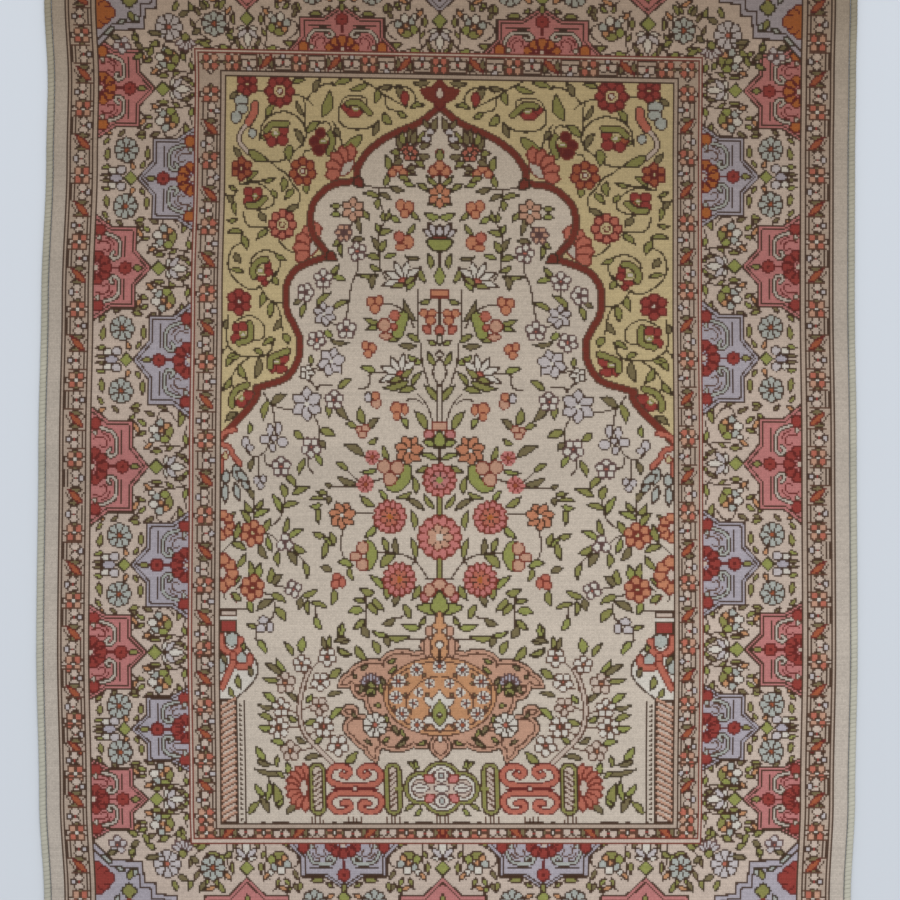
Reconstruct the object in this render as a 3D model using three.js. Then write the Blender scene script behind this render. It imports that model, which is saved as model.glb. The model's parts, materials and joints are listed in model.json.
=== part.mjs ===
// A small hand-knotted silk prayer rug, laid flat on a surface.
// Units are millimetres. +X is across the rug, +Y runs from the vase end to the arch end, +Z is up.
// The origin is the middle of the rug's outline, on the surface that it lies on.

import * as THREE from 'three';
import { mergeVertices } from 'three/addons/utils/BufferGeometryUtils.js';

// Driving dimensions

const RUG_WIDTH = 604; // over both edge cords, at the widest
const PILE_LENGTH = 804; // knotted part, end to end
const PILE_THICKNESS = 3; // foundation and clipped silk pile together
const KILIM_LENGTH = 8; // flat-woven strip past the last row of knots
const KILIM_THICKNESS = 1.6;
const PILE_EDGE_SLOPE = 1.4; // the last rows of pile lean over the flat-woven strip by this much
const SELVEDGE_WIDTH = 5;
const SELVEDGE_THICKNESS = 3.4;
const FRINGE_LENGTH = 32; // from the flat-woven strip to the tip of the longest bundle
const FRINGE_HEADER = 3; // solid strip along the root of the bundles
const FRINGE_THICKNESS = 1.6;
const BUNDLE_PITCH = 6;
const BUNDLE_ROOT_WIDTH = 3.4;
const BUNDLE_TIP_WIDTH = 2.2;
const BUNDLE_SHORTFALL = 3; // how much shorter the shortest bundle is
const BUNDLE_LEAN = 1.1; // sideways drift of a bundle's tip
const LENGTH_RHYTHM = 2.3; // radians from one bundle to the next in the wave that sets their lengths
const LEAN_RHYTHM = 1.7; // the same for the wave that sets their lean
const GAP = 0.3; // air between pieces that touch

const ROW_STEP = 16; // spacing of the cross-sections that carry the uneven outline
const CORD_SIDES = 12;
const CORD_SQUARENESS = 0.75; // 1 is an ellipse, smaller is squarer

// How far each long edge draws in from the full width, at stations along the rug.
// The rug is widest a little below its middle and narrows towards both ends.
const EDGE_STATIONS = [
  { y: 410, left: 6.0, right: 0.9 },
  { y: 329, left: 5.8, right: 0.1 },
  { y: 270, left: 8.4, right: 1.2 },
  { y: 211, left: 7.3, right: 1.9 },
  { y: 108, left: 3.6, right: 2.1 },
  { y: -2, left: 1.5, right: 0.7 },
  { y: -149, left: 0.0, right: 0.0 },
  { y: -259, left: 2.1, right: 1.9 },
  { y: -333, left: 5.8, right: 5.1 },
  { y: -410, left: 6.6, right: 6.2 },
];

// Colours are the overall tones of each part.
const pileMaterial = new THREE.MeshStandardMaterial({ color: 0xb9a893, roughness: 0.55, metalness: 0 });
const cordMaterial = new THREE.MeshStandardMaterial({ color: 0xb5ad98, roughness: 0.6, metalness: 0 });
const fringeMaterial = new THREE.MeshStandardMaterial({ color: 0xd2cab6, roughness: 0.6, metalness: 0 });

// Distance that one edge draws in at height y, eased between the two nearest stations.
function drawIn(side, y) {
  const last = EDGE_STATIONS.length - 1;
  if (y >= EDGE_STATIONS[0].y) {
    return EDGE_STATIONS[0][side];
  }
  if (y <= EDGE_STATIONS[last].y) {
    return EDGE_STATIONS[last][side];
  }
  const below = EDGE_STATIONS.findIndex((station) => station.y <= y);
  const lower = EDGE_STATIONS[below];
  const upper = EDGE_STATIONS[below - 1];
  const share = (y - lower.y) / (upper.y - lower.y);
  return THREE.MathUtils.lerp(lower[side], upper[side], THREE.MathUtils.smoothstep(share, 0, 1));
}

// X of the outer face of the left or right edge cord at height y.
function edgeX(side, y) {
  const half = RUG_WIDTH / 2 - drawIn(side, y);
  return side === 'left' ? -half : half;
}

// The cross-sections of the body and the edge cords, from one end to the other: their heights along
// the rug and how thick the body is there. Both use the same heights, so their gap is even.
function crossSections() {
  const pileEnd = PILE_LENGTH / 2;
  const bodyEnd = pileEnd + KILIM_LENGTH;
  const fullEnd = pileEnd - PILE_EDGE_SLOPE;
  const steps = Math.ceil((2 * fullEnd) / ROW_STEP);
  return [
    { y: -bodyEnd, top: KILIM_THICKNESS },
    { y: -pileEnd, top: KILIM_THICKNESS },
    ...Array.from({ length: steps + 1 }, (unused, index) => ({
      y: THREE.MathUtils.lerp(-fullEnd, fullEnd, index / steps),
      top: PILE_THICKNESS,
    })),
    { y: pileEnd, top: KILIM_THICKNESS },
    { y: bodyEnd, top: KILIM_THICKNESS },
  ];
}

// Closed solid between cross-sections that all have the same number of corners.
// Each section is a ring of points, anticlockwise as seen from -Y, and the rings run towards +Y.
function loftSolid(rings) {
  const sides = rings[0].length;
  const positions = rings.flat().flatMap((point) => [point.x, point.y, point.z]);
  const indices = [];
  for (let ring = 0; ring + 1 < rings.length; ring += 1) {
    for (let side = 0; side < sides; side += 1) {
      const next = (side + 1) % sides;
      const near = ring * sides;
      const far = near + sides;
      indices.push(near + side, far + next, near + next);
      indices.push(near + side, far + side, far + next);
    }
  }
  const lastRing = (rings.length - 1) * sides;
  for (let side = 1; side + 1 < sides; side += 1) {
    indices.push(0, side, side + 1);
    indices.push(lastRing, lastRing + side + 1, lastRing + side);
  }
  const geometry = new THREE.BufferGeometry();
  geometry.setAttribute('position', new THREE.Float32BufferAttribute(positions, 3));
  geometry.setIndex(indices);
  return geometry;
}

// The knotted body with its two flat-woven ends: one flat sheet with an uneven outline.
function rugBodyGeometry() {
  const rings = crossSections().map(({ y, top }) => {
    const left = edgeX('left', y) + SELVEDGE_WIDTH + GAP;
    const right = edgeX('right', y) - SELVEDGE_WIDTH - GAP;
    return [
      new THREE.Vector3(left, y, 0),
      new THREE.Vector3(right, y, 0),
      new THREE.Vector3(right, y, top),
      new THREE.Vector3(left, y, top),
    ];
  });
  return loftSolid(rings);
}

// One edge cord: a squarish rounded section, flat underneath, that follows the side of the rug.
function selvedgeGeometry(side) {
  const towardsMiddle = side === 'left' ? 1 : -1;
  // The outermost corners lie half a step off the axes, so this brings the flats to the full size.
  const reach = Math.cos(Math.PI / CORD_SIDES) ** CORD_SQUARENESS;
  const rings = crossSections().map(({ y }) => {
    const middle = edgeX(side, y) + (towardsMiddle * SELVEDGE_WIDTH) / 2;
    return Array.from({ length: CORD_SIDES }, (unused, corner) => {
      const angle = ((corner + 0.5) / CORD_SIDES) * Math.PI * 2;
      const across = (Math.sign(Math.cos(angle)) * Math.abs(Math.cos(angle)) ** CORD_SQUARENESS) / reach;
      const up = (Math.sign(Math.sin(angle)) * Math.abs(Math.sin(angle)) ** CORD_SQUARENESS) / reach;
      return new THREE.Vector3(middle + (across * SELVEDGE_WIDTH) / 2, y, ((1 + up) * SELVEDGE_THICKNESS) / 2);
    });
  });
  return loftSolid(rings);
}

// One row of warp bundles: a comb whose teeth are a little uneven in length and lean.
function fringeGeometry(end) {
  const rootY = end * (PILE_LENGTH / 2 + KILIM_LENGTH + GAP);
  const left = edgeX('left', rootY) + SELVEDGE_WIDTH;
  const right = edgeX('right', rootY) - SELVEDGE_WIDTH;
  const count = Math.floor((right - left) / BUNDLE_PITCH);
  const pitch = (right - left) / count;
  const teeth = Array.from({ length: count }, (unused, index) => {
    const middle = pitch * (index + 0.5);
    const length = FRINGE_LENGTH - BUNDLE_SHORTFALL * Math.sin(index * LENGTH_RHYTHM) ** 2;
    const lean = BUNDLE_LEAN * Math.sin(index * LEAN_RHYTHM + end);
    return [
      new THREE.Vector2(middle - BUNDLE_ROOT_WIDTH / 2, FRINGE_HEADER),
      new THREE.Vector2(middle - BUNDLE_TIP_WIDTH / 2 + lean, length),
      new THREE.Vector2(middle + BUNDLE_TIP_WIDTH / 2 + lean, length),
      new THREE.Vector2(middle + BUNDLE_ROOT_WIDTH / 2, FRINGE_HEADER),
    ];
  });
  const outline = [
    new THREE.Vector2(0, 0),
    new THREE.Vector2(0, FRINGE_HEADER),
    ...teeth.flat(),
    new THREE.Vector2(right - left, FRINGE_HEADER),
    new THREE.Vector2(right - left, 0),
  ];
  const extruded = new THREE.ExtrudeGeometry(new THREE.Shape(outline), {
    depth: FRINGE_THICKNESS,
    bevelEnabled: false,
  });
  extruded.deleteAttribute('normal');
  extruded.deleteAttribute('uv');
  const geometry = mergeVertices(extruded);
  if (end < 0) {
    // Turning by half a turn about the vertical keeps the faces pointing out.
    geometry.rotateZ(Math.PI);
    geometry.translate(right, rootY, 0);
  } else {
    geometry.translate(left, rootY, 0);
  }
  return geometry;
}

function piece(name, geometry, material) {
  const mesh = new THREE.Mesh(geometry, material);
  mesh.name = name;
  geometry.computeVertexNormals();
  return mesh;
}

const rug = new THREE.Group();
rug.name = 'prayer_rug';
rug.add(piece('rug_body', rugBodyGeometry(), pileMaterial));
rug.add(piece('selvedge_left', selvedgeGeometry('left'), cordMaterial));
rug.add(piece('selvedge_right', selvedgeGeometry('right'), cordMaterial));
rug.add(piece('fringe_top', fringeGeometry(1), fringeMaterial));
rug.add(piece('fringe_bottom', fringeGeometry(-1), fringeMaterial));

export default rug;
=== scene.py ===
"""A small hand-knotted silk prayer rug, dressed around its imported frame.

The rug is made as a weaver makes it. A cartoon, the full-size plan of the design, is drawn from
traditional motifs: an arch over a vase with a flowering tree, spandrels with coiling vines, a main
border of half-star cartouches and two narrow guard borders. The knotted panels then take one dye
per knot from it. The foundation, the flat-woven ends, the overcast sides and the fringes are pieces
of their own.

The cartoon is measured in millimetres from the middle of the rug, with its real axis across the rug
and its imaginary axis along it, so a place is one complex number and a turn is a multiplication.
"""

import json
import logging
import math
from contextlib import contextmanager
from dataclasses import dataclass, replace
from enum import Enum
from typing import ContextManager, Iterator, Optional, Sequence

import bpy
import numpy as np
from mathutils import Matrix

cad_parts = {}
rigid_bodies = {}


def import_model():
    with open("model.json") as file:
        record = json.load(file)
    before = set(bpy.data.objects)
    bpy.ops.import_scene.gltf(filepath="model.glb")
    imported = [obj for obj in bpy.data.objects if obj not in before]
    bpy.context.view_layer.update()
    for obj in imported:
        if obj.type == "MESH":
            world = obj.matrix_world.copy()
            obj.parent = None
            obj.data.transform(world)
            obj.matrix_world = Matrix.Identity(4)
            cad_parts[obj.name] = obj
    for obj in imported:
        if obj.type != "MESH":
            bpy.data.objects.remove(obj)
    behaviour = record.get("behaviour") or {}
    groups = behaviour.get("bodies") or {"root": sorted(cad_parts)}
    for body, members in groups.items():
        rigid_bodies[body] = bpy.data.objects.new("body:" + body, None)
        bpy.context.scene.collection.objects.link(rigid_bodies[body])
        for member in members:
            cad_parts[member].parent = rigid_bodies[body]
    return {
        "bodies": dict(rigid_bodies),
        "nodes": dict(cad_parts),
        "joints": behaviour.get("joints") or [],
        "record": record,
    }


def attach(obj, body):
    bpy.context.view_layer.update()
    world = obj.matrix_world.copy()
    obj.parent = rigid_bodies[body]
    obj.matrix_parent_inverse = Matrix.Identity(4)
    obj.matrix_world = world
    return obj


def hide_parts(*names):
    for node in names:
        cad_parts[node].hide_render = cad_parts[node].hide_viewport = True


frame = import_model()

LOG = logging.getLogger("rug")
MM = 0.001
SEED = 1923
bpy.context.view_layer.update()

# The rug's real sizes, in millimetres, as the frame has them.

FULL_WIDTH = 604.0  # over both edge cords, at the widest
HALF_BODY_WIDTH = 296.4  # from the middle to the edge cord
HALF_PILE_LENGTH = 402.0
HALF_BODY_LENGTH = 410.0  # with the flat-woven ends
CORD_WIDTH = 5.0
PILE_TOP = 3.0
KNOT = 1.2  # pitch of the knots both ways
THREADS_PER_KNOT = 3  # steps of the cartoon across one knot

# How far each long edge draws in from the full width, at stations along the rug.
EDGE_STATIONS = (
    # y, left, right
    (-410.0, 6.6, 6.2),
    (-333.0, 5.8, 5.1),
    (-259.0, 2.1, 1.9),
    (-149.0, 0.0, 0.0),
    (-2.0, 1.5, 0.7),
    (108.0, 3.6, 2.1),
    (211.0, 7.3, 1.9),
    (270.0, 8.4, 1.2),
    (329.0, 5.8, 0.1),
    (410.0, 6.0, 0.9),
)

# The bands of the design, in cartoon millimetres from the middle.
GUARD_OUTER = 286.0
BORDER_OUTER = 263.0
BORDER_INNER = 190.5
FIELD_HALF_WIDTH = 166.5
BORDER_END = 365.0
GUARD_END = 388.0
FRAME_TOP = 290.5
FRAME_BOTTOM = -291.0
FIELD_TOP = 270.5
FIELD_BOTTOM = -275.5

SHARP_ANGLE = 75.0  # degrees between faces, past which an edge isn't shaded smooth

LINE = 1.4  # the design's dark outline is a little over one knot wide
FINE = 1.15
PETAL_POINTS = 9  # along one side of a petal


class Dye(Enum):
    """The dyed silks, as red, green and blue out of 255 in plain daylight."""

    IVORY = (196, 182, 166)
    PEARL = (204, 196, 184)
    CREAM = (184, 172, 159)
    SAND = (176, 156, 139)
    SHELL = (192, 173, 158)
    GOLD = (192, 173, 130)
    UMBER = (64, 40, 24)
    COCOA = (88, 56, 40)
    MOSS = (56, 41, 20)
    BRICK = (114, 46, 32)
    MADDER = (142, 56, 48)
    OXBLOOD = (98, 30, 24)
    RUST = (156, 82, 52)
    CORAL = (178, 101, 82)
    ROSE = (188, 114, 108)
    BLUSH = (182, 116, 112)
    APRICOT = (186, 122, 90)
    SAFFRON = (168, 96, 44)
    TAN = (188, 144, 120)
    FAWN = (190, 138, 98)
    OLIVE = (134, 130, 72)
    LEAF = (140, 142, 76)
    DRAB = (116, 103, 70)
    LAVENDER = (166, 158, 165)
    LILAC = (186, 177, 176)
    PLUM = (90, 62, 58)
    MIST = (166, 168, 160)
    CORD = (178, 174, 158)
    WARP = (206, 198, 178)

    @property
    def light(self) -> np.ndarray:
        """The dye as linear light, each channel from 0 to 1."""
        share = np.array(self.value) / 255.0
        return np.where(share <= 0.04045, share / 12.92, ((share + 0.055) / 1.055) ** 2.4)


def heading(degrees: float) -> complex:
    """A step of length one in a direction, anticlockwise from straight across."""
    return complex(math.cos(math.radians(degrees)), math.sin(math.radians(degrees)))


def smooth(points: Sequence[complex], steps: int = 6, closed: bool = False) -> np.ndarray:
    """A curve through all the points, by the Catmull-Rom cubic.

    Between two points the curve is a cubic whose slope at each of them is half the step between
    that point's neighbours.

    Args:
        points: The points that the curve goes through.
        steps: Straight pieces between two points.
        closed: Whether the curve runs back to its first point.

    Returns:
        The curve's points as complex numbers.
    """
    knots = np.array(points, complex)
    if closed:
        knots = np.concatenate([knots[-1:], knots, knots[:2]])
    else:
        knots = np.concatenate([[2 * knots[0] - knots[1]], knots, [2 * knots[-1] - knots[-2]]])
    t = np.linspace(0, 1, steps, endpoint=False)[None, :]
    before, start, end, after = (knots[i: len(knots) - 3 + i, None] for i in range(4))
    curve = 0.5 * (
        2 * start
        + (end - before) * t
        + (2 * before - 5 * start + 4 * end - after) * t**2
        + (3 * start - before - 3 * end + after) * t**3
    )
    curve = curve.ravel()
    return curve if closed else np.append(curve, knots[-2])


def petal(length: float, width: float, fullness: float = 1.0, bend: float = 0.0) -> np.ndarray:
    """The outline of a petal or leaf that grows from zero along the real axis.

    Half its width at the share t of its length is sin(pi * t ** fullness) * width / 2, and its
    middle line bends sideways by bend * length * t * t.

    Args:
        length: From base to tip.
        width: At its fullest.
        fullness: Under 1 it is fullest near the base, over 1 near the tip.
        bend: How far the tip bends to the left, as a share of the length.

    Returns:
        A closed outline.
    """
    t = np.linspace(0, 1, PETAL_POINTS)
    half = 0.5 * width * np.sin(np.pi * t**fullness)
    there = length * t + 1j * half
    back = (length * t - 1j * half)[-2:0:-1]
    share = np.concatenate([t, t[-2:0:-1]])
    return np.concatenate([there, back]) + 1j * bend * length * share**2


def ring(radius: float, steps: int = 16) -> np.ndarray:
    """The outline of a disc."""
    return radius * np.exp(2j * np.pi * np.arange(steps) / steps)


def oval(width: float, height: float, steps: int = 16) -> np.ndarray:
    """The outline of an ellipse."""
    disc = ring(0.5, steps)
    return width * disc.real + 1j * height * disc.imag


def scallop(radius: float, lobes: int, depth: float) -> np.ndarray:
    """A disc with a lobed rim: radius * (1 - depth * (1 - |cos(lobes * angle / 2)|))."""
    angle = 2 * np.pi * np.arange(lobes * 6) / (lobes * 6)
    return radius * (1 - depth * (1 - np.abs(np.cos(lobes * angle / 2)))) * np.exp(1j * angle)


@dataclass(frozen=True)
class Lobe:
    """An ellipse, or a leaf with two points, that is one part of a lobed outline."""

    at: complex
    half_width: float
    half_height: float
    turn: float = 0.0
    pointed: bool = False

    def outline(self, grow: float) -> np.ndarray:
        """Its outline, grown on all sides."""
        half_width, half_height = self.half_width + grow, self.half_height + grow
        if self.pointed:
            return self.at + heading(self.turn) * (petal(2 * half_width, 2 * half_height, 0.9) - half_width)
        return self.at + heading(self.turn) * oval(2 * half_width, 2 * half_height, 28)


@dataclass(frozen=True)
class Placing:
    """Where a motif goes: it is turned over if asked, scaled, turned, then moved."""

    at: complex
    turn: float = 0.0
    size: float = 1.0
    flip: bool = False

    def place(self, points: np.ndarray) -> np.ndarray:
        """The points as they lie once the motif is placed."""
        here = np.conj(points) if self.flip else points
        return here * self.size * heading(self.turn) + self.at


Row = tuple[float, ...]  # one row of a table


class Cartoon:
    """The weaver's full-size plan: a fine raster whose cells each hold the number of a dye."""

    CHUNK = 10  # straight pieces of a line that are drawn at once
    OUTLINES = (Dye.UMBER, Dye.COCOA, Dye.MOSS, Dye.BRICK, Dye.OXBLOOD, Dye.PLUM)
    OUTLINE_VOTE = 1.2  # a cell of an outline counts as this many when its knot is chosen
    SPREAD = 0.2  # share of a knot's face that the fibres of its four neighbours cover

    def __init__(self, half_width: float, half_length: float, pitch: float) -> None:
        """Args:
            half_width: From the middle to the side, in millimetres.
            half_length: From the middle to the end.
            pitch: Size of one cell of the raster.
        """
        self.pitch = pitch
        self.left = -half_width
        self.bottom = -half_length
        self.cols = round(2 * half_width / pitch)
        self.rows = round(2 * half_length / pitch)
        self.dyes = list(Dye)
        self.cells = np.zeros((self.rows, self.cols), np.uint8)
        self._placings: list[Placing] = []
        self._mirror = False

    @contextmanager
    def placed(self, at: complex, turn: float = 0.0, size: float = 1.0, flip: bool = False) -> Iterator[None]:
        """All that is drawn inside is placed as one motif."""
        self._placings.append(Placing(at, turn, size, flip))
        yield
        self._placings.pop()

    @contextmanager
    def mirrored(self) -> Iterator[None]:
        """All that is drawn inside is drawn on both sides of the middle line."""
        self._mirror = True
        yield
        self._mirror = False

    def _copies(self, points: Sequence[complex]) -> list[np.ndarray]:
        """The points in cells of the raster, once or on both sides."""
        points = np.asarray(points, complex)
        for placing in reversed(self._placings):
            points = placing.place(points)
        sides = [points, -np.conj(points)] if self._mirror else [points]
        corner = complex(self.left, self.bottom)
        return [(side - corner) / self.pitch for side in sides]

    def _window(self, cells: np.ndarray, margin: float) -> Optional[tuple[int, int, int, int]]:
        """The raster's rows and columns that hold the points, or None where they are off it."""
        col_low = max(int(cells.real.min() - margin), 0)
        col_high = min(int(cells.real.max() + margin) + 2, self.cols)
        row_low = max(int(cells.imag.min() - margin), 0)
        row_high = min(int(cells.imag.max() + margin) + 2, self.rows)
        if col_low >= col_high or row_low >= row_high:
            return None
        return row_low, row_high, col_low, col_high

    def _lay(self, window: tuple[int, int, int, int], cover: np.ndarray, dye: Dye) -> None:
        """Give a dye to the cells of a window that are at least half covered."""
        row_low, row_high, col_low, col_high = window
        self.cells[row_low:row_high, col_low:col_high][cover >= 0.5] = self.dyes.index(dye)

    def fill(self, outline: Sequence[complex], dye: Dye) -> None:
        """Fill a closed outline.

        On each row of cells, every edge that crosses it adds one full turn to all the cells on its
        right, with a sign for its direction, so the running sum along the row is 1 inside.
        """
        for cells in self._copies(outline):
            window = self._window(cells, 0)
            if window is None:
                continue
            row_low, row_high, col_low, col_high = window
            height, width = row_high - row_low, col_high - col_low
            middle = np.arange(row_low, row_high)[:, None] + 0.5
            x, y = cells.real, cells.imag
            x_next, y_next = np.roll(x, -1), np.roll(y, -1)
            sign = ((y <= middle) & (y_next > middle)).astype(int) - ((y_next <= middle) & (y > middle))
            row, edge = np.nonzero(sign)
            sign = sign[row, edge]
            slope = (x_next[edge] - x[edge]) / (y_next[edge] - y[edge])
            cross = x[edge] + (middle[row, 0] - y[edge]) * slope - col_low
            cross = np.clip(cross, 0, width - 1e-3)
            cell = cross.astype(int)
            part = cross - cell
            place = row * (width + 1) + cell
            size = height * (width + 1) + 1
            turns = np.bincount(place, sign * (1 - part), size) + np.bincount(place + 1, sign * part, size)
            cover = np.cumsum(turns[:-1].reshape(height, width + 1), axis=1)[:, :-1]
            self._lay(window, np.clip(np.abs(cover), 0, 1), dye)

    def stroke(self, path: Sequence[complex], dye: Dye, width: float = LINE, closed: bool = False) -> None:
        """Draw a line of even width, by each cell's distance from its nearest straight piece."""
        reach = 0.5 * width / self.pitch
        for cells in self._copies(path):
            if closed:
                cells = np.append(cells, cells[0])
            for first in range(0, len(cells) - 1, self.CHUNK):
                part = cells[first: first + self.CHUNK + 1]
                window = self._window(part, reach + 1)
                if window is None:
                    continue
                row_low, row_high, col_low, col_high = window
                across = np.arange(col_low, col_high) + 0.5
                along = np.arange(row_low, row_high) + 0.5
                here = (across[None, :] + 1j * along[:, None])[..., None]
                start, step = part[:-1], np.diff(part)
                step = np.where(step == 0, 1e-9, step)
                share = np.clip(((here - start) * np.conj(step)).real / np.abs(step) ** 2, 0, 1)
                distance = np.abs(here - start - share * step).min(axis=-1)
                self._lay(window, np.clip(reach - distance + 0.5, 0, 1), dye)

    def shape(self, outline: Sequence[complex], face: Dye, line: Dye = Dye.UMBER,
              width: float = LINE) -> None:
        """A closed shape with a face and an outline."""
        self.fill(outline, face)
        self.stroke(outline, line, width, closed=True)

    def shape_at(self, at: complex, turn: float, outline: Sequence[complex], face: Dye,
                 line: Dye = Dye.UMBER, width: float = LINE) -> None:
        """The same at a place, turned by degrees."""
        with self.placed(at, turn):
            self.shape(outline, face, line, width)

    def band(self, path: Sequence[complex], face: Dye, width: float, line: Dye = Dye.UMBER) -> None:
        """A broad line with a thin outline on both sides."""
        self.stroke(path, line, width + 2 * FINE)
        self.stroke(path, face, width)

    def knots(self, per_knot: int) -> np.ndarray:
        """The colour of each knot, which has one dye: the one that most of its cells ask for.

        Args:
            per_knot: Cells across one knot.

        Returns:
            Rows by columns by three linear channels.
        """
        rows, cols = self.rows // per_knot, self.cols // per_knot
        cells = self.cells.reshape(rows, per_knot, cols, per_knot)
        most = np.zeros((rows, cols))
        choice = np.zeros((rows, cols), int)
        for number, dye in enumerate(self.dyes):
            votes = (cells == number).sum(axis=(1, 3)) * (self.OUTLINE_VOTE if dye in self.OUTLINES else 1.0)
            ahead = votes > most
            choice[ahead] = number
            most[ahead] = votes[ahead]
        own = np.array([dye.light for dye in self.dyes])[choice]
        wide = np.pad(own, ((1, 1), (1, 1), (0, 0)), mode="edge")
        beside = (wide[:-2, 1:-1] + wide[2:, 1:-1] + wide[1:-1, :-2] + wide[1:-1, 2:]) / 4
        return (1 - self.SPREAD) * own + self.SPREAD * beside


class Motifs(Cartoon):
    """The traditional motifs, each drawn at a place, turned by degrees."""

    def leaf(self, at: complex, turn: float, length: float, width: float, face: Dye = Dye.OLIVE,
             line: Dye = Dye.MOSS) -> None:
        """A pointed leaf that grows from a place."""
        self.shape_at(at, turn, petal(length, width, 0.8), face, line, FINE)

    def spokes(self, count: int, step: float, start: float, end: float, dye: Dye, width: float) -> None:
        """Lines between the petals of a flower, from one radius to another, a step of degrees apart."""
        for index in range(count):
            spoke = heading(step * (index + 0.5))
            self.stroke([start * spoke, end * spoke], dye, width)

    def rosette(self, at: complex, radius: float, lobes: int, face: Dye, heart: Dye,
                eye: Dye = Dye.OLIVE) -> None:
        """A round flower with a lobed rim, a ring of inner petals and an eye."""
        with self.placed(at):
            self.shape(scallop(radius, lobes, 0.16), face, Dye.BRICK)
            self.spokes(lobes, 360 / lobes, 0.6 * radius, 0.86 * radius, Dye.BRICK, 0.9)
            self.shape(scallop(0.6 * radius, lobes // 2, 0.22), heart, Dye.BRICK, FINE)
            self.spokes(lobes // 2, 720 / lobes, 0.2 * radius, 0.5 * radius, Dye.UMBER, 0.9)
            self.fill(ring(0.17 * radius), eye)

    def star(self, at: complex, radius: float, petals: int, face: Dye, turn: float, eye: Dye,
             fullness: float = 1.35) -> None:
        """A flower of separate pointed petals."""
        for count in range(petals):
            outline = petal(radius, 0.68 * radius, fullness)
            self.shape_at(at, turn + 360 / petals * count, outline, face, width=FINE)
        self.fill(at + ring(0.13 * radius), eye)

    def lobed(self, lobes: Sequence[Lobe], layers: Sequence[tuple[float, Dye]]) -> None:
        """One outline round several lobes, in layers that each lie over all the lobes.

        Args:
            lobes: The lobes.
            layers: How far the lobes are grown and the dye, from the first layer to the last.
        """
        for grow, dye in layers:
            for lobe in lobes:
                self.fill(lobe.outline(grow), dye)

    def spoked(self, at: complex, radius: float, petals: int = 8, face: Dye = Dye.PEARL,
               line: Dye = Dye.PLUM) -> None:
        """A small flower of thin petals that are parted by dark lines."""
        with self.placed(at):
            self.fill(scallop(radius, petals, 0.12), face)
            self.spokes(petals, 360 / petals, 0.1 * radius, radius, line, 1.0)
            self.fill(ring(0.24 * radius, 8), Dye.RUST)

    def daisy(self, at: complex, radius: float, petals: int, face: Dye, eye: Dye, turn: float, line: Dye,
              width: float = LINE) -> None:
        """A flower of round petals that touch, with a round eye."""
        bead = radius * math.sin(math.pi / petals) / (1 + math.sin(math.pi / petals))
        for count in range(petals):
            spoke = (radius - bead) * heading(turn + 360 / petals * count)
            self.shape(at + spoke + ring(1.06 * bead, 14), face, line, width)
        self.shape(at + ring(0.2 * radius, 10), eye, line, FINE)

    def marguerite(self, at: complex, radius: float, petals: int = 8, face: Dye = Dye.MIST,
                   eye: Dye = Dye.RUST) -> None:
        """A flower of broad petals that touch, parted by single lines, with a small eye."""
        with self.placed(at):
            self.shape(scallop(radius, petals, 0.14), face, width=FINE)
            self.spokes(petals, 360 / petals, 0.2 * radius, 0.95 * radius, Dye.UMBER, 1.25)
            self.shape(ring(0.2 * radius, 10), eye, Dye.COCOA, FINE)

    def half_rosette(self, at: complex, turn: float, radius: float, face: Dye = Dye.CORAL,
                     heart: Dye = Dye.SHELL, petals: int = 5, spread: float = 180.0) -> None:
        """A fan of petals that opens in one direction, as wide as its spread in degrees."""
        breadth = 2.2 * radius * math.sin(math.radians(spread / petals / 2))
        blade = petal(0.88 * radius, breadth, 1.7)
        with self.placed(at, turn):
            for count in range(petals):
                lean = -spread / 2 + spread / petals * (count + 0.5)
                self.shape_at(0.18 * radius * heading(lean), lean, blade, face, Dye.BRICK)
            self.shape(petal(0.42 * radius, 0.8 * radius, 0.8), heart, Dye.BRICK)

    def lily(self, at: complex, turn: float, size: float) -> None:
        """Five long pointed petals that fan out of a small heart, held by two leaves."""
        with self.placed(at, turn, size):
            for place in (-2, -1, 0, 1, 2):
                lean = 33 * place
                blade = petal(1.0, 0.34, 0.9, 0.1 * place)
                self.shape_at(0.1 * heading(lean), lean, blade, Dye.PEARL, width=FINE)
            self.shape(ring(0.22, 8), Dye.CORAL, Dye.BRICK, FINE)
            for side in (-1, 1):
                with self.placed(-0.18, side * 62, flip=side < 0):
                    self.shape(petal(0.75, 0.3, 0.8, 0.25), Dye.OLIVE, width=FINE)


def box_outline(left: float, right: float, bottom: float, top: float) -> np.ndarray:
    """The four corners of an upright rectangle."""
    return np.array([complex(left, bottom), complex(right, bottom), complex(right, top), complex(left, top)])


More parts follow.
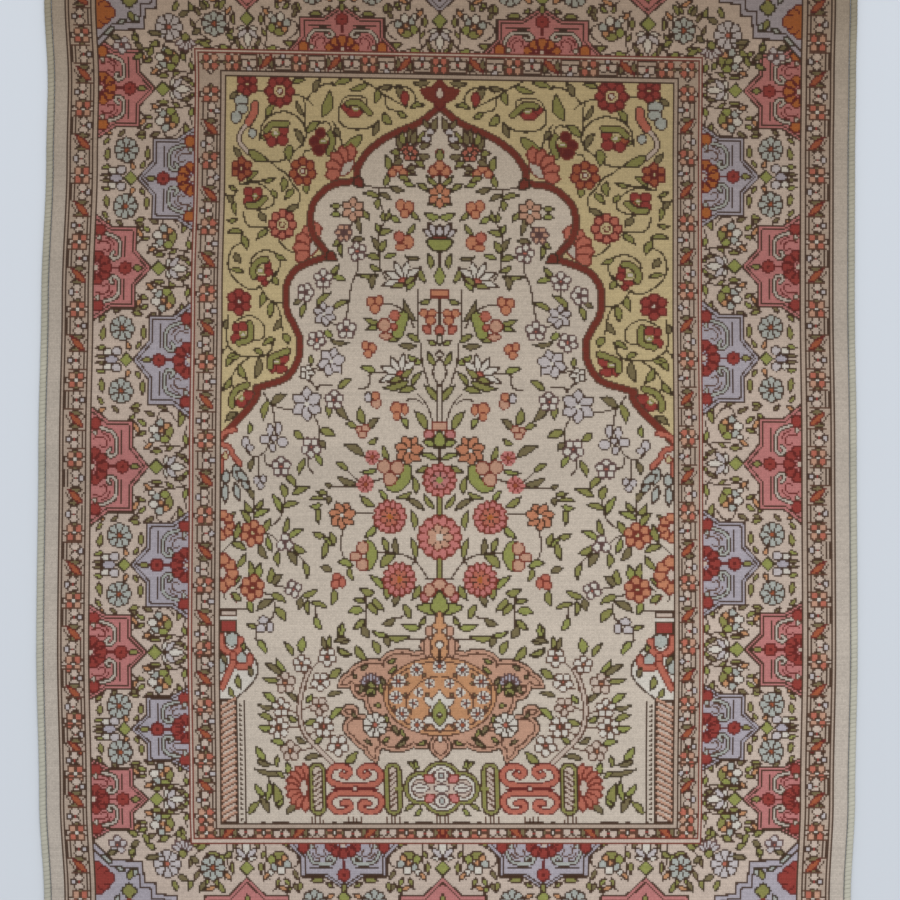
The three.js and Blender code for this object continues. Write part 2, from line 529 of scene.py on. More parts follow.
@dataclass(frozen=True)
class LaidCloth:
    """How the straight cartoon lies once it is woven and laid out.

    Hand weaving draws the rug out of true: its edges wave, the niche leans a little to the left, and
    the rows of knots slope where they were beaten unevenly.
    """

    lean: float = 5.5  # how far the niche's middle line stands to the left
    lean_at_foot: float = 3.2
    slope: float = 0.0175  # fall of a row of knots, to the right, in the upper half
    level_at: float = -275.0
    steepest_at: float = 290.0
    right_shift: float = 2.0  # how far the right border stands to the left

    def draw_in(self, y: np.ndarray, side: int) -> np.ndarray:
        """How far an edge draws in at heights along the rug, eased between the stations.

        Args:
            y: Heights.
            side: 1 for the left edge and 2 for the right one.
        """
        table = np.array(EDGE_STATIONS)
        index = np.clip(np.searchsorted(table[:, 0], y) - 1, 0, len(table) - 2)
        share = np.clip((y - table[index, 0]) / (table[index + 1, 0] - table[index, 0]), 0, 1)
        ease = share**2 * (3 - 2 * share)
        return table[index, side] * (1 - ease) + table[index + 1, side] * ease

    def half_width(self, y: np.ndarray, x: np.ndarray) -> np.ndarray:
        """From the middle to the edge that is on the same side as x."""
        return FULL_WIDTH / 2 - np.where(x < 0, self.draw_in(y, 1), self.draw_in(y, 2))

    def lay(self, places: np.ndarray) -> np.ndarray:
        """Where places of the cartoon lie on the cloth.

        The niche moves to the left by lean * (1 - (u / field half width) ** 2), less near its foot, the
        rows slope, and the whole width is drawn in by the share of the edge on that side.
        """
        u, v = places.real, places.imag
        bow = np.clip(1 - (u / FIELD_HALF_WIDTH) ** 2, 0, 1)
        across = u - np.interp(v, [FIELD_BOTTOM, -200.0], [self.lean_at_foot, self.lean]) * bow
        bands = [FIELD_HALF_WIDTH, BORDER_INNER, BORDER_OUTER, HALF_BODY_WIDTH]
        across = across - self.right_shift * np.interp(u, bands, [0, 1, 1, 0])
        tilt = np.interp(v, [self.level_at, self.steepest_at, HALF_PILE_LENGTH], [0, self.slope, 0])
        y = v - tilt * across
        return across * self.half_width(y, across) / (FULL_WIDTH / 2) + 1j * y

    def find(self, places: np.ndarray) -> np.ndarray:
        """The places of the cartoon that come to lie at places of the cloth, by repeated correction."""
        guess = np.array(places, complex)
        for _ in range(6):
            guess = guess + (places - self.lay(guess))
        return guess


class NichePlan(Motifs):
    """The middle of the rug: arch, spandrels, flowering tree, vase, base and columns.

    Places are measured on the left half of the laid cloth, and each motif is drawn on both sides.
    """

    TEETH = (-4.5, -1.5, 1.5, 4.5)  # across one tuft of short lines at the niche's foot
    cloth = LaidCloth()

    def seen(self, *places: complex) -> np.ndarray:
        """Cartoon places of places measured on the laid cloth."""
        return self.cloth.find(np.array(places, complex))

    def spot(self, x: float, y: float) -> complex:
        """The same for one place."""
        return complex(self.seen(complex(x, y))[0])

    def arch_curve(self) -> np.ndarray:
        """The left half of the arch's middle line: cusped arcs, from the finial to the frame."""
        arcs = (
            (251j, -6 + 245.5j, -13 + 240j, -22 + 235.5j, -33 + 231j, -44 + 225j, -54 + 217j, -61 + 208j,
             -63.5 + 201j, -63 + 195j),
            (-63 + 195j, -77.8 + 193j, -88 + 188j, -95.7 + 180j, -98.8 + 170j, -98.5 + 162j, -95.4 + 153j,
             -89 + 146j, -83.5 + 140j),
            (-83.5 + 140j, -98.1 + 135j, -108.7 + 130j, -115.9 + 120j, -117.3 + 108j, -115.6 + 98j,
             -110.3 + 88j, -106.5 + 80j, -105.9 + 70j, -108.9 + 60j, -115.2 + 51j, -123.7 + 47j,
             -139.5 + 42.5j),
            (-139.5 + 42.5j, -139.3 + 36j, -146 + 27j, -154 + 19j, -166 + 6j),
        )
        return np.concatenate([smooth(arc, 5) for arc in arcs])

    def draw_spandrels(self) -> None:
        """The gold ground above the arch, with coiling vines and flowers, and the arch itself."""
        arch = self.arch_curve()
        corner = np.array([-FIELD_HALF_WIDTH + 6j, -FIELD_HALF_WIDTH + FIELD_TOP * 1j, FIELD_TOP * 1j])
        with self.mirrored():
            self.fill(np.concatenate([arch, corner]), Dye.GOLD)
            self.draw_vines()
            self.draw_spandrel_leaves()
            self.draw_spandrel_flowers()
            self.half_rosette(-68 + 202j, 140, 19, Dye.CORAL, Dye.CREAM, 5, 125)
            self.half_rosette(-92 + 145j, 152, 19, Dye.CORAL, Dye.CREAM, 5, 130)
            self.stroke(arch, Dye.COCOA, 6.0)
            self.stroke(arch, Dye.BRICK, 3.9)
            for cusp, turn in ((-63 + 195j, -38), (-83.5 + 140j, -30)):
                self.shape_at(cusp, turn, petal(10, 8, 0.7) - 3.0, Dye.BRICK)
        for lean, length, width in ((90, 14, 13), (160, 16, 10), (20, 16, 10), (270, 9, 9)):
            self.shape_at(257j, lean, petal(length, width, 0.8), Dye.BRICK, Dye.OXBLOOD)
        for lean, length, width in ((90, 13.4, 12), (160, 15.4, 9), (20, 15.4, 9), (270, 8, 8)):
            self.fill(257j + petal(length, width, 0.8) * heading(lean), Dye.BRICK)
        self.shape_at(256j, 90, petal(9, 7, 0.8), Dye.SHELL, Dye.OXBLOOD, FINE)

    def draw_vines(self) -> None:
        """The spandrel's coiling stems."""
        stems = (
            (-160 + 257j, -152 + 264j, -140 + 262j, -130 + 262j), (-113 + 260j, -104 + 257j, -99 + 252j),
            (-103 + 256j, -98 + 262j, -90 + 267j, -84 + 268j),
            (-106 + 258j, -104 + 250j, -104 + 240j, -104 + 232j),
            (-151 + 151j, -158 + 146j, -161 + 137j, -160 + 130j, -155 + 123j, -147 + 117j, -139 + 117j,
             -131 + 121j, -126 + 130j),
            (-131 + 145j, -138 + 144j, -144 + 138j, -144 + 131j),
            (-131 + 145j, -124 + 141j, -123 + 133j, -128 + 122j), (-150 + 173j, -146 + 163j, -132 + 162j),
            (-138 + 226j, -136 + 237j, -130 + 244j, -120 + 247j, -110 + 243j, -104 + 234j, -105 + 225j,
             -113 + 217j),
            (-148 + 217j, -138 + 212j, -130 + 210j, -124 + 205j, -118 + 201j, -113 + 193j, -108 + 186j,
             -110 + 176j),
            (-129 + 210j, -121 + 211j, -117 + 214j), (-82 + 214j, -84 + 230j, -88 + 239j, -98 + 237j),
            (-100 + 219j, -105 + 217j, -105 + 211j), (-152 + 199j, -152 + 194j, -140 + 196j, -127 + 197j),
            (-160 + 193j, -155 + 190j, -157 + 184j, -160 + 180j),
            (-150 + 194j, -138 + 194j, -130 + 188j, -127 + 182j, -130 + 177j, -140 + 174j),
            (-50 + 240j, -58 + 235j, -68 + 234j, -77 + 237j, -80 + 244j, -77 + 255j, -70 + 259j,
             -60 + 257j, -59 + 253j),
            (-36 + 247j, -44 + 250j, -46 + 258j, -50 + 262j, -57 + 267j, -64 + 271j),
            (-44 + 262j, -37 + 266j, -28 + 264j, -23 + 258j, -23 + 252j, -17 + 251j),
            (-50 + 262j, -42 + 257j, -30 + 250j), (-84 + 240j, -79 + 230j, -77 + 222j),
            (-124 + 152j, -118 + 146j, -108 + 142j, -100 + 144j),
            (-138 + 119j, -132 + 110j, -127 + 107j, -119 + 107j), (-127 + 107j, -123 + 100j, -121 + 86j),
            (-157 + 92j, -146 + 97j, -137 + 93j, -134 + 86j, -136 + 80j, -146 + 78j),
            (-161 + 97j, -162 + 88j, -161 + 75j, -155 + 70j), (-161 + 75j, -165 + 70j),
            (-155 + 68j, -146 + 67j, -135 + 67j, -129 + 72j, -128 + 78j),
            (-146 + 66j, -153 + 60j, -158 + 52j, -157 + 41j),
        )
        for stem in stems:
            self.stroke(smooth(self.seen(*stem)), Dye.MOSS, 1.35)
        pod = smooth(self.seen(-141 + 252j, -142 + 246j, -146 + 239j))
        self.stroke(pod, Dye.UMBER, 7.4)
        tail = smooth(self.seen(-146 + 239j, -152 + 231j, -152 + 224j, -146 + 217j))
        self.stroke(tail, Dye.UMBER, 4.4)
        self.stroke(tail, Dye.SHELL, 2.2)
        self.stroke(pod, Dye.CORAL, 5.0)

    def draw_spandrel_leaves(self) -> None:
        """The leaves along the spandrel's stems."""
        self.draw_leaf_rows((
            # base x, y, tip x, y, width
            (-115, 223, -116, 210, 7), (-112, 234, -106, 222, 5), (-146, 219, -131, 211, 7),
            (-133, 243, -126, 253, 5), (-111, 255, -104, 243, 3.5), (-103, 231, -93, 240, 5.5),
            (-92, 243, -86, 263, 8), (-98, 261, -93, 271, 5), (-139, 203, -147, 195, 4),
            (-134, 194, -126, 198, 3.5), (-152, 212, -157, 221, 4.5), (-120, 199, -121, 188, 5.5),
            (-112, 190, -119, 182, 5), (-109, 179, -119, 175, 4), (-103, 195, -103, 186, 4.5),
            (-138, 229, -131, 225, 3), (-160, 257, -154, 262, 4), (-114, 268, -104, 270, 4),
            (-131, 270, -122, 272, 3.5), (-51, 240, -55, 229, 4.5), (-47, 246, -40, 237, 6),
            (-51, 264, -53, 253, 5), (-50, 265, -40, 266, 3.5), (-58, 268, -72, 263, 4.5),
            (-70, 270, -84, 266, 4.5), (-38, 265, -29, 251, 7), (-36, 247, -29, 243, 4),
            (-27, 250, -16, 252, 3.5), (-25, 268, -12, 269, 4), (-62, 230, -78, 220, 7.5),
            (-160, 193, -154, 189, 3), (-162, 186, -157, 178, 4), (-156, 181, -155, 171, 4),
            (-130, 189, -125, 183, 4), (-82, 236, -78, 228, 4), (-135, 115, -138, 103, 5),
            (-128, 107, -130, 95, 5.5), (-122, 95, -128, 86, 4.5), (-126, 80, -136, 75, 4),
            (-121, 84, -116, 76, 5.5), (-162, 94, -162, 86, 4), (-142, 72, -135, 68, 4),
            (-155, 70, -162, 59, 5.5), (-138, 66, -141, 51, 6), (-153, 61, -147, 50, 5.5),
            (-159, 51, -165, 42, 4.5), (-154, 26, -163, 19, 4.5), (-154, 168, -162, 167, 3),
            (-150, 158, -162, 158, 4), (-139, 172, -133, 166, 5), (-131, 160, -140, 153, 4.5),
            (-151, 156, -147, 145, 5), (-156, 143, -151, 136, 5), (-159, 131, -149, 128, 3.5),
            (-128, 126, -124, 120, 5), (-112, 143, -106, 150, 4.5), (-126, 142, -118, 138, 4),
            (-152, 68, -160, 66, 3),
        ), (Dye.OLIVE, Dye.DRAB, Dye.OLIVE))

    def draw_spandrel_flowers(self) -> None:
        """Round flowers of the spandrel, some of them half leaf."""
        stars = (
            # x, y, radius, petals, face, eye
            (-147, 267, 8.5, 6, Dye.MADDER, Dye.GOLD),
            (-123, 262, 11.5, 8, Dye.MADDER, Dye.IVORY),
            (-151, 205, 8.5, 6, Dye.RUST, Dye.GOLD),
            (-106, 203, 10.5, 7, Dye.RUST, Dye.IVORY),
            (-121, 164, 11.0, 8, Dye.CORAL, Dye.GOLD),
            (-153, 107, 9.8, 6, Dye.MADDER, Dye.IVORY),
        )
        for x, y, radius, petals, face, eye in stars:
            self.daisy(self.spot(x, y), radius, petals, face, eye, 90, Dye.OXBLOOD)
        self.draw_lobes(Dye.MIST, (
            (-151, 255, 11, 9), (-151, 249, 10, 8), (-155, 243, 9, 9), (-143, 231, 7, 7),
        ), Dye.UMBER)
        self.draw_lobes(Dye.MADDER, (
            (-120, 234, 8, 9), (-121, 226, 9, 8), (-129, 225, 8, 8), (-74, 250, 7, 6), (-68, 246, 12, 7),
            (-31, 257, 6, 10), (-146, 188, 8, 7), (-139, 188, 7, 7), (-146, 181, 8, 8), (-132, 134, 5, 9),
            (-131, 129, 6, 6), (-136, 124, 8, 5), (-134, 121, 5, 4), (-155, 88, 7, 7), (-150, 89, 8, 7),
            (-155, 80, 8, 8), (-120, 66, 8, 9), (-123, 58, 12, 6), (-128, 58, 6, 6), (-146, 38, 9, 8),
            (-151, 33, 9, 7),
        ), Dye.OXBLOOD)
        self.draw_lobes(Dye.OXBLOOD, (
            (-93, 231, 8, 8), (-97, 225, 9, 8), (-94, 219, 10, 9), (-88, 221, 7, 8),
        ))
        self.draw_lobes(Dye.RUST, ((-132, 231, 6, 8), (-138, 181, 7, 7)), Dye.OXBLOOD)
        self.draw_lobes(Dye.IVORY, (
            (-126, 231, 6, 3), (-141, 185, 3, 3), (-67, 249, 5, 2.4), (-91, 225, 6, 2.6), (-137, 130, 5, 4),
            (-150, 83, 4, 4), (-125, 63, 5, 3), (-151, 36, 3, 4),
        ), Dye.OLIVE)
        pods = (
            (-133 + 233j, -128 + 238j, -118 + 238j), (-73 + 253j, -66 + 254j, -60 + 249j, -57 + 246j),
            (-86 + 231j, -84 + 225j, -87 + 217j), (-146 + 178j, -140 + 178j, -134 + 183j),
            (-142 + 126j, -143 + 131j, -138 + 137j, -133 + 138j),
            (-145 + 91j, -144 + 84j, -146 + 79j, -153 + 77j),
            (-130 + 59j, -130 + 65j, -125 + 68j, -117 + 71j),
            (-158 + 31j, -158 + 37j, -154 + 43j, -147 + 46j),
        )
        for pod in pods:
            self.band(smooth(self.seen(*pod)), Dye.OLIVE, 3.6)

    def draw_axis(self) -> None:
        """The middle of the tree, from the vase to the top of the arch. It is drawn once."""
        for base, top, width in ((-98, -78, 5.2), (-48, -35, 4.2)):
            self.band([base * 1j, top * 1j], Dye.OLIVE, width - 2)
        for base, top in ((-12, 2), (88, 112), (190, 204), (120, 150)):
            self.stroke([base * 1j, top * 1j], Dye.UMBER, 2.2)
        self.rosette(-24j, 12.5, 13, Dye.ROSE, Dye.BLUSH, Dye.LEAF)
        self.rosette(-66j, 16.5, 14, Dye.ROSE, Dye.TAN, Dye.IVORY)
        self.draw_joint(-123j, 16.5)
        self.star(185j, 9.5, 6, Dye.APRICOT, 90, Dye.IVORY)
        self.leaf(210j, 90, 10, 6)
        for spot in (-4.6 + 203j, 4.6 + 203j, 207j):
            self.shape(spot + ring(3.9, 12), Dye.APRICOT, Dye.BRICK)
        self.draw_axis_lily(144j)
        self.leaf(119j, 90, 15, 7.5, Dye.LEAF)
        self.shape(box_outline(-7, 7, 110.5, 115.5), Dye.APRICOT, Dye.BRICK)
        for side in (-1, 1):
            self.shape_at(complex(side * 6.5, 83), 90 - side * 40, petal(9, 5.5, 0.9), Dye.CORAL, Dye.BRICK)
            self.shape_at(complex(side * 3, 75), 90 - side * 55, petal(7, 4, 0.9), Dye.LEAF)
        self.shape(86j + ring(3.6, 12), Dye.CORAL, Dye.BRICK)
        self.leaf(75j, 90, 9, 4.4, Dye.IVORY)
        self.shape(68j + ring(3.2, 4), Dye.IVORY)
        self.shape_at(45j, 90, petal(21, 10), Dye.IVORY)
        for side in (-2, 2):
            self.stroke([side + 19j, side + 46j], Dye.UMBER)
        self.shape(box_outline(-5, 5, 12.5, 19), Dye.TAN, Dye.BRICK)
        for side in (-1, 1):
            self.shape(complex(side * 8, 9.5) + ring(3.6, 12), Dye.BLUSH, Dye.BRICK)
        self.draw_joint(0j, 12)

    def draw_joint(self, at: complex, half_width: float) -> None:
        """A joint of the trunk: a broad green calyx with a drop, and lobes above it if it is wide.

        Args:
            at: The middle of its base.
            half_width: Reach of its two wings.
        """
        with self.placed(at, 0, half_width):
            if half_width > 14:
                for spot, width, height in (
                    (-0.66 + 0.8j, 0.36, 0.52), (0.66 + 0.8j, 0.36, 0.52), (-0.44 + 1.1j, 0.5, 0.64),
                    (0.44 + 1.1j, 0.5, 0.64), (1.36j, 0.62, 0.5),
                ):
                    face = Dye.TAN if spot.imag > 1 else Dye.BLUSH
                    self.shape(spot + oval(width, height, 14), face, Dye.BRICK)
            crescent = smooth([-1.0 + 0.42j, -0.9 + 0.2j, -0.4 + 0j, 0.4 + 0j, 0.9 + 0.2j, 1.0 + 0.42j,
                               0.45 + 0.5j, -0.45 + 0.5j], 4, closed=True)
            self.shape(crescent, Dye.LEAF, Dye.MOSS)
            self.shape(petal(1.1, 0.8, 0.62) * 1j, Dye.LEAF, Dye.MOSS)
            self.fill(petal(0.85, 0.5, 0.62) * 1j + 0.05j, Dye.LEAF)

    def draw_axis_lily(self, at: complex) -> None:
        """The trunk's upper flower: long petals on a red base over a broad green calyx."""
        with self.placed(at):
            for lean in (150, 30, 125, 55, 90):
                self.shape_at(9j, lean, petal(11 if lean == 90 else 15, 5.5), Dye.LILAC)
            self.shape(box_outline(-5.5, 5.5, 7.5, 11.5), Dye.BRICK)
            calyx = smooth([-10 + 8j, -6 + 1.5j, 0j, 6 + 1.5j, 10 + 8j, 4 + 8.6j, -4 + 8.6j], 4, closed=True)
            self.shape(calyx, Dye.LEAF, Dye.MOSS)

    def draw_leaf_rows(self, rows: Sequence[Row], faces: Sequence[Dye], line: Dye = Dye.MOSS) -> None:
        """Pointed leaves from base to tip, bowed a little to one side or the other by turns.

        Args:
            rows: Base x and y, tip x and y, width, for each leaf, on the laid cloth.
            faces: Dyes that the leaves take in turn.
            line: Dye of their outline.
        """
        table = np.array(rows)
        bases = self.cloth.find(table[:, 0] + 1j * table[:, 1])
        steps = self.cloth.find(table[:, 2] + 1j * table[:, 3]) - bases
        for index, (base, step, width) in enumerate(zip(bases, steps, table[:, 4])):
            length = abs(step)
            blade = petal(length, width, 0.85)
            share = blade.real / length
            blade = blade + (0.35j if index % 2 else -0.35j) * length * share * (1 - share)
            self.shape_at(base, math.degrees(np.angle(step)), blade, faces[index % len(faces)], line, FINE)

    def draw_lobes(self, face: Dye, rows: Sequence[Row], line: Dye = Dye.BRICK) -> None:
        """Round lobes of flowers.

        Args:
            face: Their dye.
            rows: x, y, width and height of each, on the laid cloth.
            line: Dye of their outline.
        """
        for x, y, width, height in rows:
            self.shape(self.spot(x, y) + oval(width, height), face, line, 1.1)

    def draw_tree(self) -> None:
        """Both halves of the flowering tree."""
        with self.mirrored():
            self.draw_branches()
            self.draw_leaves()
            self.draw_large_flowers()
            self.draw_small_flowers()
        self.draw_axis()

    def draw_branches(self) -> None:
        """The thin stems between leaves and flowers."""
        branches = (
            (-60 + 193j, -50 + 190.5j, -38 + 192j),
            (-50 + 190j, -50 + 183j, -47 + 173j, -46 + 166j, -50 + 158j, -50 + 144j, -49 + 132j,
             -45 + 124j),
            (-69 + 166j, -72 + 160j, -70 + 152j, -67 + 148j),
            (-21.5 + 116j, -21.5 + 84j, -19 + 75j, -18 + 62j, -13 + 45j, -9 + 36j),
            (-47 + 105.5j, -40 + 105j, -30 + 99j, -24 + 88j),
            (-58 + 53j, -53 + 55j, -42 + 55j),
            (-57 + 53j, -58 + 45j, -65 + 43j),
            (-22 + 40j, -16 + 33j, -12 + 24j, -11 + 18j),
            (-30 + 35j, -22 + 35j, -17 + 31j),
            (-86 - 29j, -72 - 29j, -64 - 29j),
            (-66 - 24j, -73 - 17j),
            (-54 - 25j, -48 - 23j),
            (-55 - 48j, -68 - 48j),
            (-50 - 77j, -35 - 78j, -23 - 83j),
            (-101 + 50j, -95 + 42j, -95 + 45j, -85 + 46j),
            (-98 + 58j, -92 + 57j, -86 + 60j),
            (-99 + 26j, -94 + 15j, -94 + 5j),
            (-135 + 40j, -131 + 34j, -128 + 28j, -126 + 15j),
            (-128 + 31j, -122 + 29j, -115 + 28j),
            (-147 - 3j, -142 - 7j, -138 - 6j, -134 - 3j, -131 + 2j),
            (-138 - 8j, -138 - 21j),
            (-134 - 5j, -133 - 12j, -128 - 14j),
            (-102 - 8j, -102 - 14j, -98 - 19j),
            (-119 - 36j, -120 - 44j, -123 - 52j, -129 - 58j),
            (-142 - 36j, -142 - 58j),
            (-137 - 64j, -130 - 64j, -125 - 68j),
            (-165 - 77j, -159 - 70j),
            (-111 - 77j, -106 - 83j, -103 - 90j),
            (-118 - 103j, -128 - 101j),
            (-134 - 107j, -128 - 110j, -127 - 118j, -128 - 124j, -132 - 129j),
            (-155 - 104j, -149 - 100j, -145 - 100j),
            (-97 - 116j, -96 - 124j),
            (-140 - 136j, -141 - 141j),
            (-60 - 106j, -60 - 131j),
            (-32 - 124.5j, -39 - 125j),
            (-27 - 88j, -23 - 84j, -14 - 96j),
            (-16 - 97j, -4 - 97j),
            (-37 - 140j, -28 - 141j, -16 - 140.5j),
            (-66 + 139j, -66 + 130j, -70 + 120j, -72 + 108j, -74 + 95j),
            (-91 + 118j, -92 + 108j),
            (-78 + 90j, -88 + 92j, -92 + 96j),
            (-77 - 62j, -78 - 74j, -74 - 86j),
        )
        for branch in branches:
            self.stroke(smooth(self.seen(*branch)), Dye.UMBER, 1.3)

    def draw_leaves(self) -> None:
        """The leaves of the tree."""
        self.draw_leaf_rows((
            # base x, y, tip x, y, width
            (-43, 204, -45, 215, 5.5), (-36, 208, -36, 216, 4), (-46, 192, -44, 202, 4.5),
            (-30, 201, -22, 200, 3), (-33, 198, -23, 192, 4), (-22, 194, -14, 188, 4),
            (-42, 192, -31, 189, 4), (-7, 193, -15, 200, 4), (-6, 178, -15, 179, 3),
            (-5, 169, -17, 172, 5), (-50, 184, -62, 187, 4), (-50, 187, -41, 182, 4),
            (-50, 183, -51, 175, 5), (-78, 178, -86, 178, 4), (-78, 171, -86, 171, 4),
            (-63, 174, -57, 167, 4), (-65, 170, -63, 157, 4), (-46, 166, -47, 174, 3.5),
            (-46, 166, -42, 175, 3.5), (-42, 169, -34, 165, 4), (-26, 174, -20, 167, 4),
            (-70, 152, -60, 153, 4), (-78, 150, -77, 140, 4), (-80, 153, -84, 148, 3.5),
            (-50, 158, -53, 165, 4), (-50, 157, -40, 159, 4.5), (-50, 144, -56, 155, 4.5),
            (-49, 143, -44, 153, 5), (-49, 138, -60, 141, 5), (-46, 139, -37, 142, 4),
            (-29, 157, -24, 165, 4), (-20, 139, -31, 141, 3), (-12, 131, -14, 143, 4.5),
            (-16, 121, -20, 133, 4.5), (-30, 115, -24, 130, 5), (-50, 127, -66, 127, 3),
            (-53, 128, -55, 116, 5), (-49, 130, -57, 135, 4), (-86, 128, -79, 135, 4),
            (-85, 125, -74, 123, 4), (-20, 106, -12, 109, 4), (-23, 93, -32, 109, 4),
            (-44, 79, -33, 83, 4.5), (-50, 92, -61, 95, 4), (-50, 88, -60, 86, 3.5),
            (-84, 102, -71, 108, 4), (-86, 79, -72, 77, 3.5), (-8, 60, -14, 71, 4.5),
            (-8, 34, -17, 46, 5), (-18, 62, -29, 68, 5), (-20, 77, -30, 83, 4.5), (-22, 75, -36, 76, 4),
            (-30, 50, -32, 65, 6), (-28, 49, -48, 44, 5), (-52, 55, -64, 59, 4.5), (-80, 43, -70, 50, 5),
            (-82, 36, -72, 20, 6), (-26, 45, -18, 56, 4), (-23, 43, -36, 40, 4.5),
            (-33, 22, -29, 14, 4.5), (-15, 13, -24, 27, 6), (-58, 13, -50, 22, 5), (-66, 14, -75, 18, 4),
            (-61, 17, -64, 30, 6), (-7, -9, -20, -5, 4), (-14, -13, -23, -18, 4), (-61, -6, -76, 2, 6),
            (-43, -9, -47, 2, 4.5), (-58, 3, -51, 7, 4), (-51, -16, -64, -18, 3.5),
            (-73, -17, -82, -11, 4), (-66, -27, -81, -21, 5), (-23, -34, -25, -21, 4.5),
            (-26, -33, -37, -37, 4), (-45, -39, -50, -31, 4), (-53, -43, -64, -35, 5),
            (-17, -46, -30, -38, 4.5), (-9, -45, -17, -34, 4), (-24, -60, -26, -46, 4.5),
            (-52, -57, -61, -66, 5), (-44, -77, -48, -66, 4.5), (-36, -79, -38, -66, 4.5),
            (-23, -82, -27, -66, 4.5), (-49, -88, -37, -78, 7), (-69, -87, -81, -84, 5),
            (-86, -62, -83, -73, 4), (-113, 105, -107, 111, 4), (-96, 104, -85, 114, 4.5),
            (-104, 106, -107, 95, 4.5), (-90, 86, -85, 80, 5), (-100, 68, -99, 60, 3.5),
            (-129, 32, -118, 39, 6), (-131, 35, -135, 20, 5.5), (-88, 33, -87, 22, 5),
            (-146, 10, -145, 19, 4), (-94, 13, -82, 8, 6), (-142, -8, -145, -18, 4.5),
            (-119, -20, -111, -29, 5), (-112, 13, -105, 6, 5), (-97, -5, -92, -14, 4.5),
            (-104, -8, -109, -20, 4.5), (-94, 5, -89, -1, 4.5), (-119, -37, -122, -26, 5.5),
            (-114, -35, -100, -29, 5), (-122, -48, -129, -34, 5), (-121, -44, -109, -41, 4.5),
            (-142, -38, -147, -30, 4.5), (-143, -48, -149, -39, 4.5), (-141, -45, -135, -38, 4),
            (-142, -51, -130, -46, 5), (-145, -56, -152, -46, 5), (-156, -47, -163, -54, 4),
            (-157, -68, -153, -54, 5), (-134, -63, -129, -52, 5), (-132, -65, -128, -77, 4.5),
            (-159, -70, -147, -76, 5), (-138, -71, -132, -82, 5.5), (-148, -78, -156, -89, 4.5),
            (-120, -63, -117, -51, 4.5), (-117, -67, -105, -60, 4.5), (-114, -71, -103, -77, 5),
            (-117, -76, -111, -87, 6), (-124, -76, -124, -87, 5), (-90, -65, -99, -62, 4.5),
            (-90, -65, -84, -72, 4), (-89, -68, -92, -82, 5), (-85, -29, -90, -27, 3.5),
            (-88, -33, -96, -32, 3.5), (-90, -38, -101, -38, 3.5), (-92, -42, -101, -43, 4),
            (-94, -44, -94, -57, 4), (-88, -35, -87, -42, 4), (-72, -88, -69, -98, 4),
            (-83, -104, -85, -116, 5.5), (-47, -104, -57, -94, 5), (-45, -103, -44, -112, 6),
            (-35, -108, -39, -117, 5), (-20, -101, -26, -112, 5.5), (-27, -126, -33, -115, 5.5),
            (-19, -132, -34, -130, 5), (-20, -131, -16, -124, 4), (-38, -126, -48, -130, 5),
            (-60, -114, -69, -112, 4), (-59, -115, -51, -123, 5.5), (-61, -120, -73, -121, 6),
            (-61, -126, -69, -133, 5), (-62, -131, -57, -140, 6), (-53, -107, -64, -104, 5.5),
            (-54, -110, -46, -120, 5), (-43, -138, -55, -135, 4), (-46, -139, -27, -139, 4.5),
            (-46, -139, -43, -147, 5), (-50, -152, -55, -142, 6), (-60, -156, -67, -145, 6),
            (-81, -147, -70, -153, 5), (-79, -140, -77, -129, 4), (-81, -142, -71, -142, 3.5),
            (-86, -170, -77, -163, 6), (-145, -96, -145, -83, 5), (-138, -96, -137, -85, 5.5),
            (-131, -100, -129, -88, 5.5), (-128, -101, -121, -93, 5), (-151, -94, -156, -102, 2.5),
            (-151, -112, -158, -106, 5), (-145, -111, -143, -122, 5), (-130, -108, -118, -114, 5),
            (-128, -112, -140, -120, 5.5), (-127, -118, -118, -128, 6), (-140, -133, -148, -130, 3.5),
            (-140, -141, -133, -152, 5), (-107, -109, -95, -104, 4.5), (-108, -110, -109, -119, 5.5),
            (-102, -112, -102, -123, 4), (-100, -114, -88, -118, 4), (-97, -124, -92, -134, 5),
            (-105, -84, -103, -96, 4.5), (-85, -91, -93, -88, 5),
        ), (Dye.OLIVE, Dye.DRAB, Dye.OLIVE, Dye.OLIVE, Dye.LEAF))

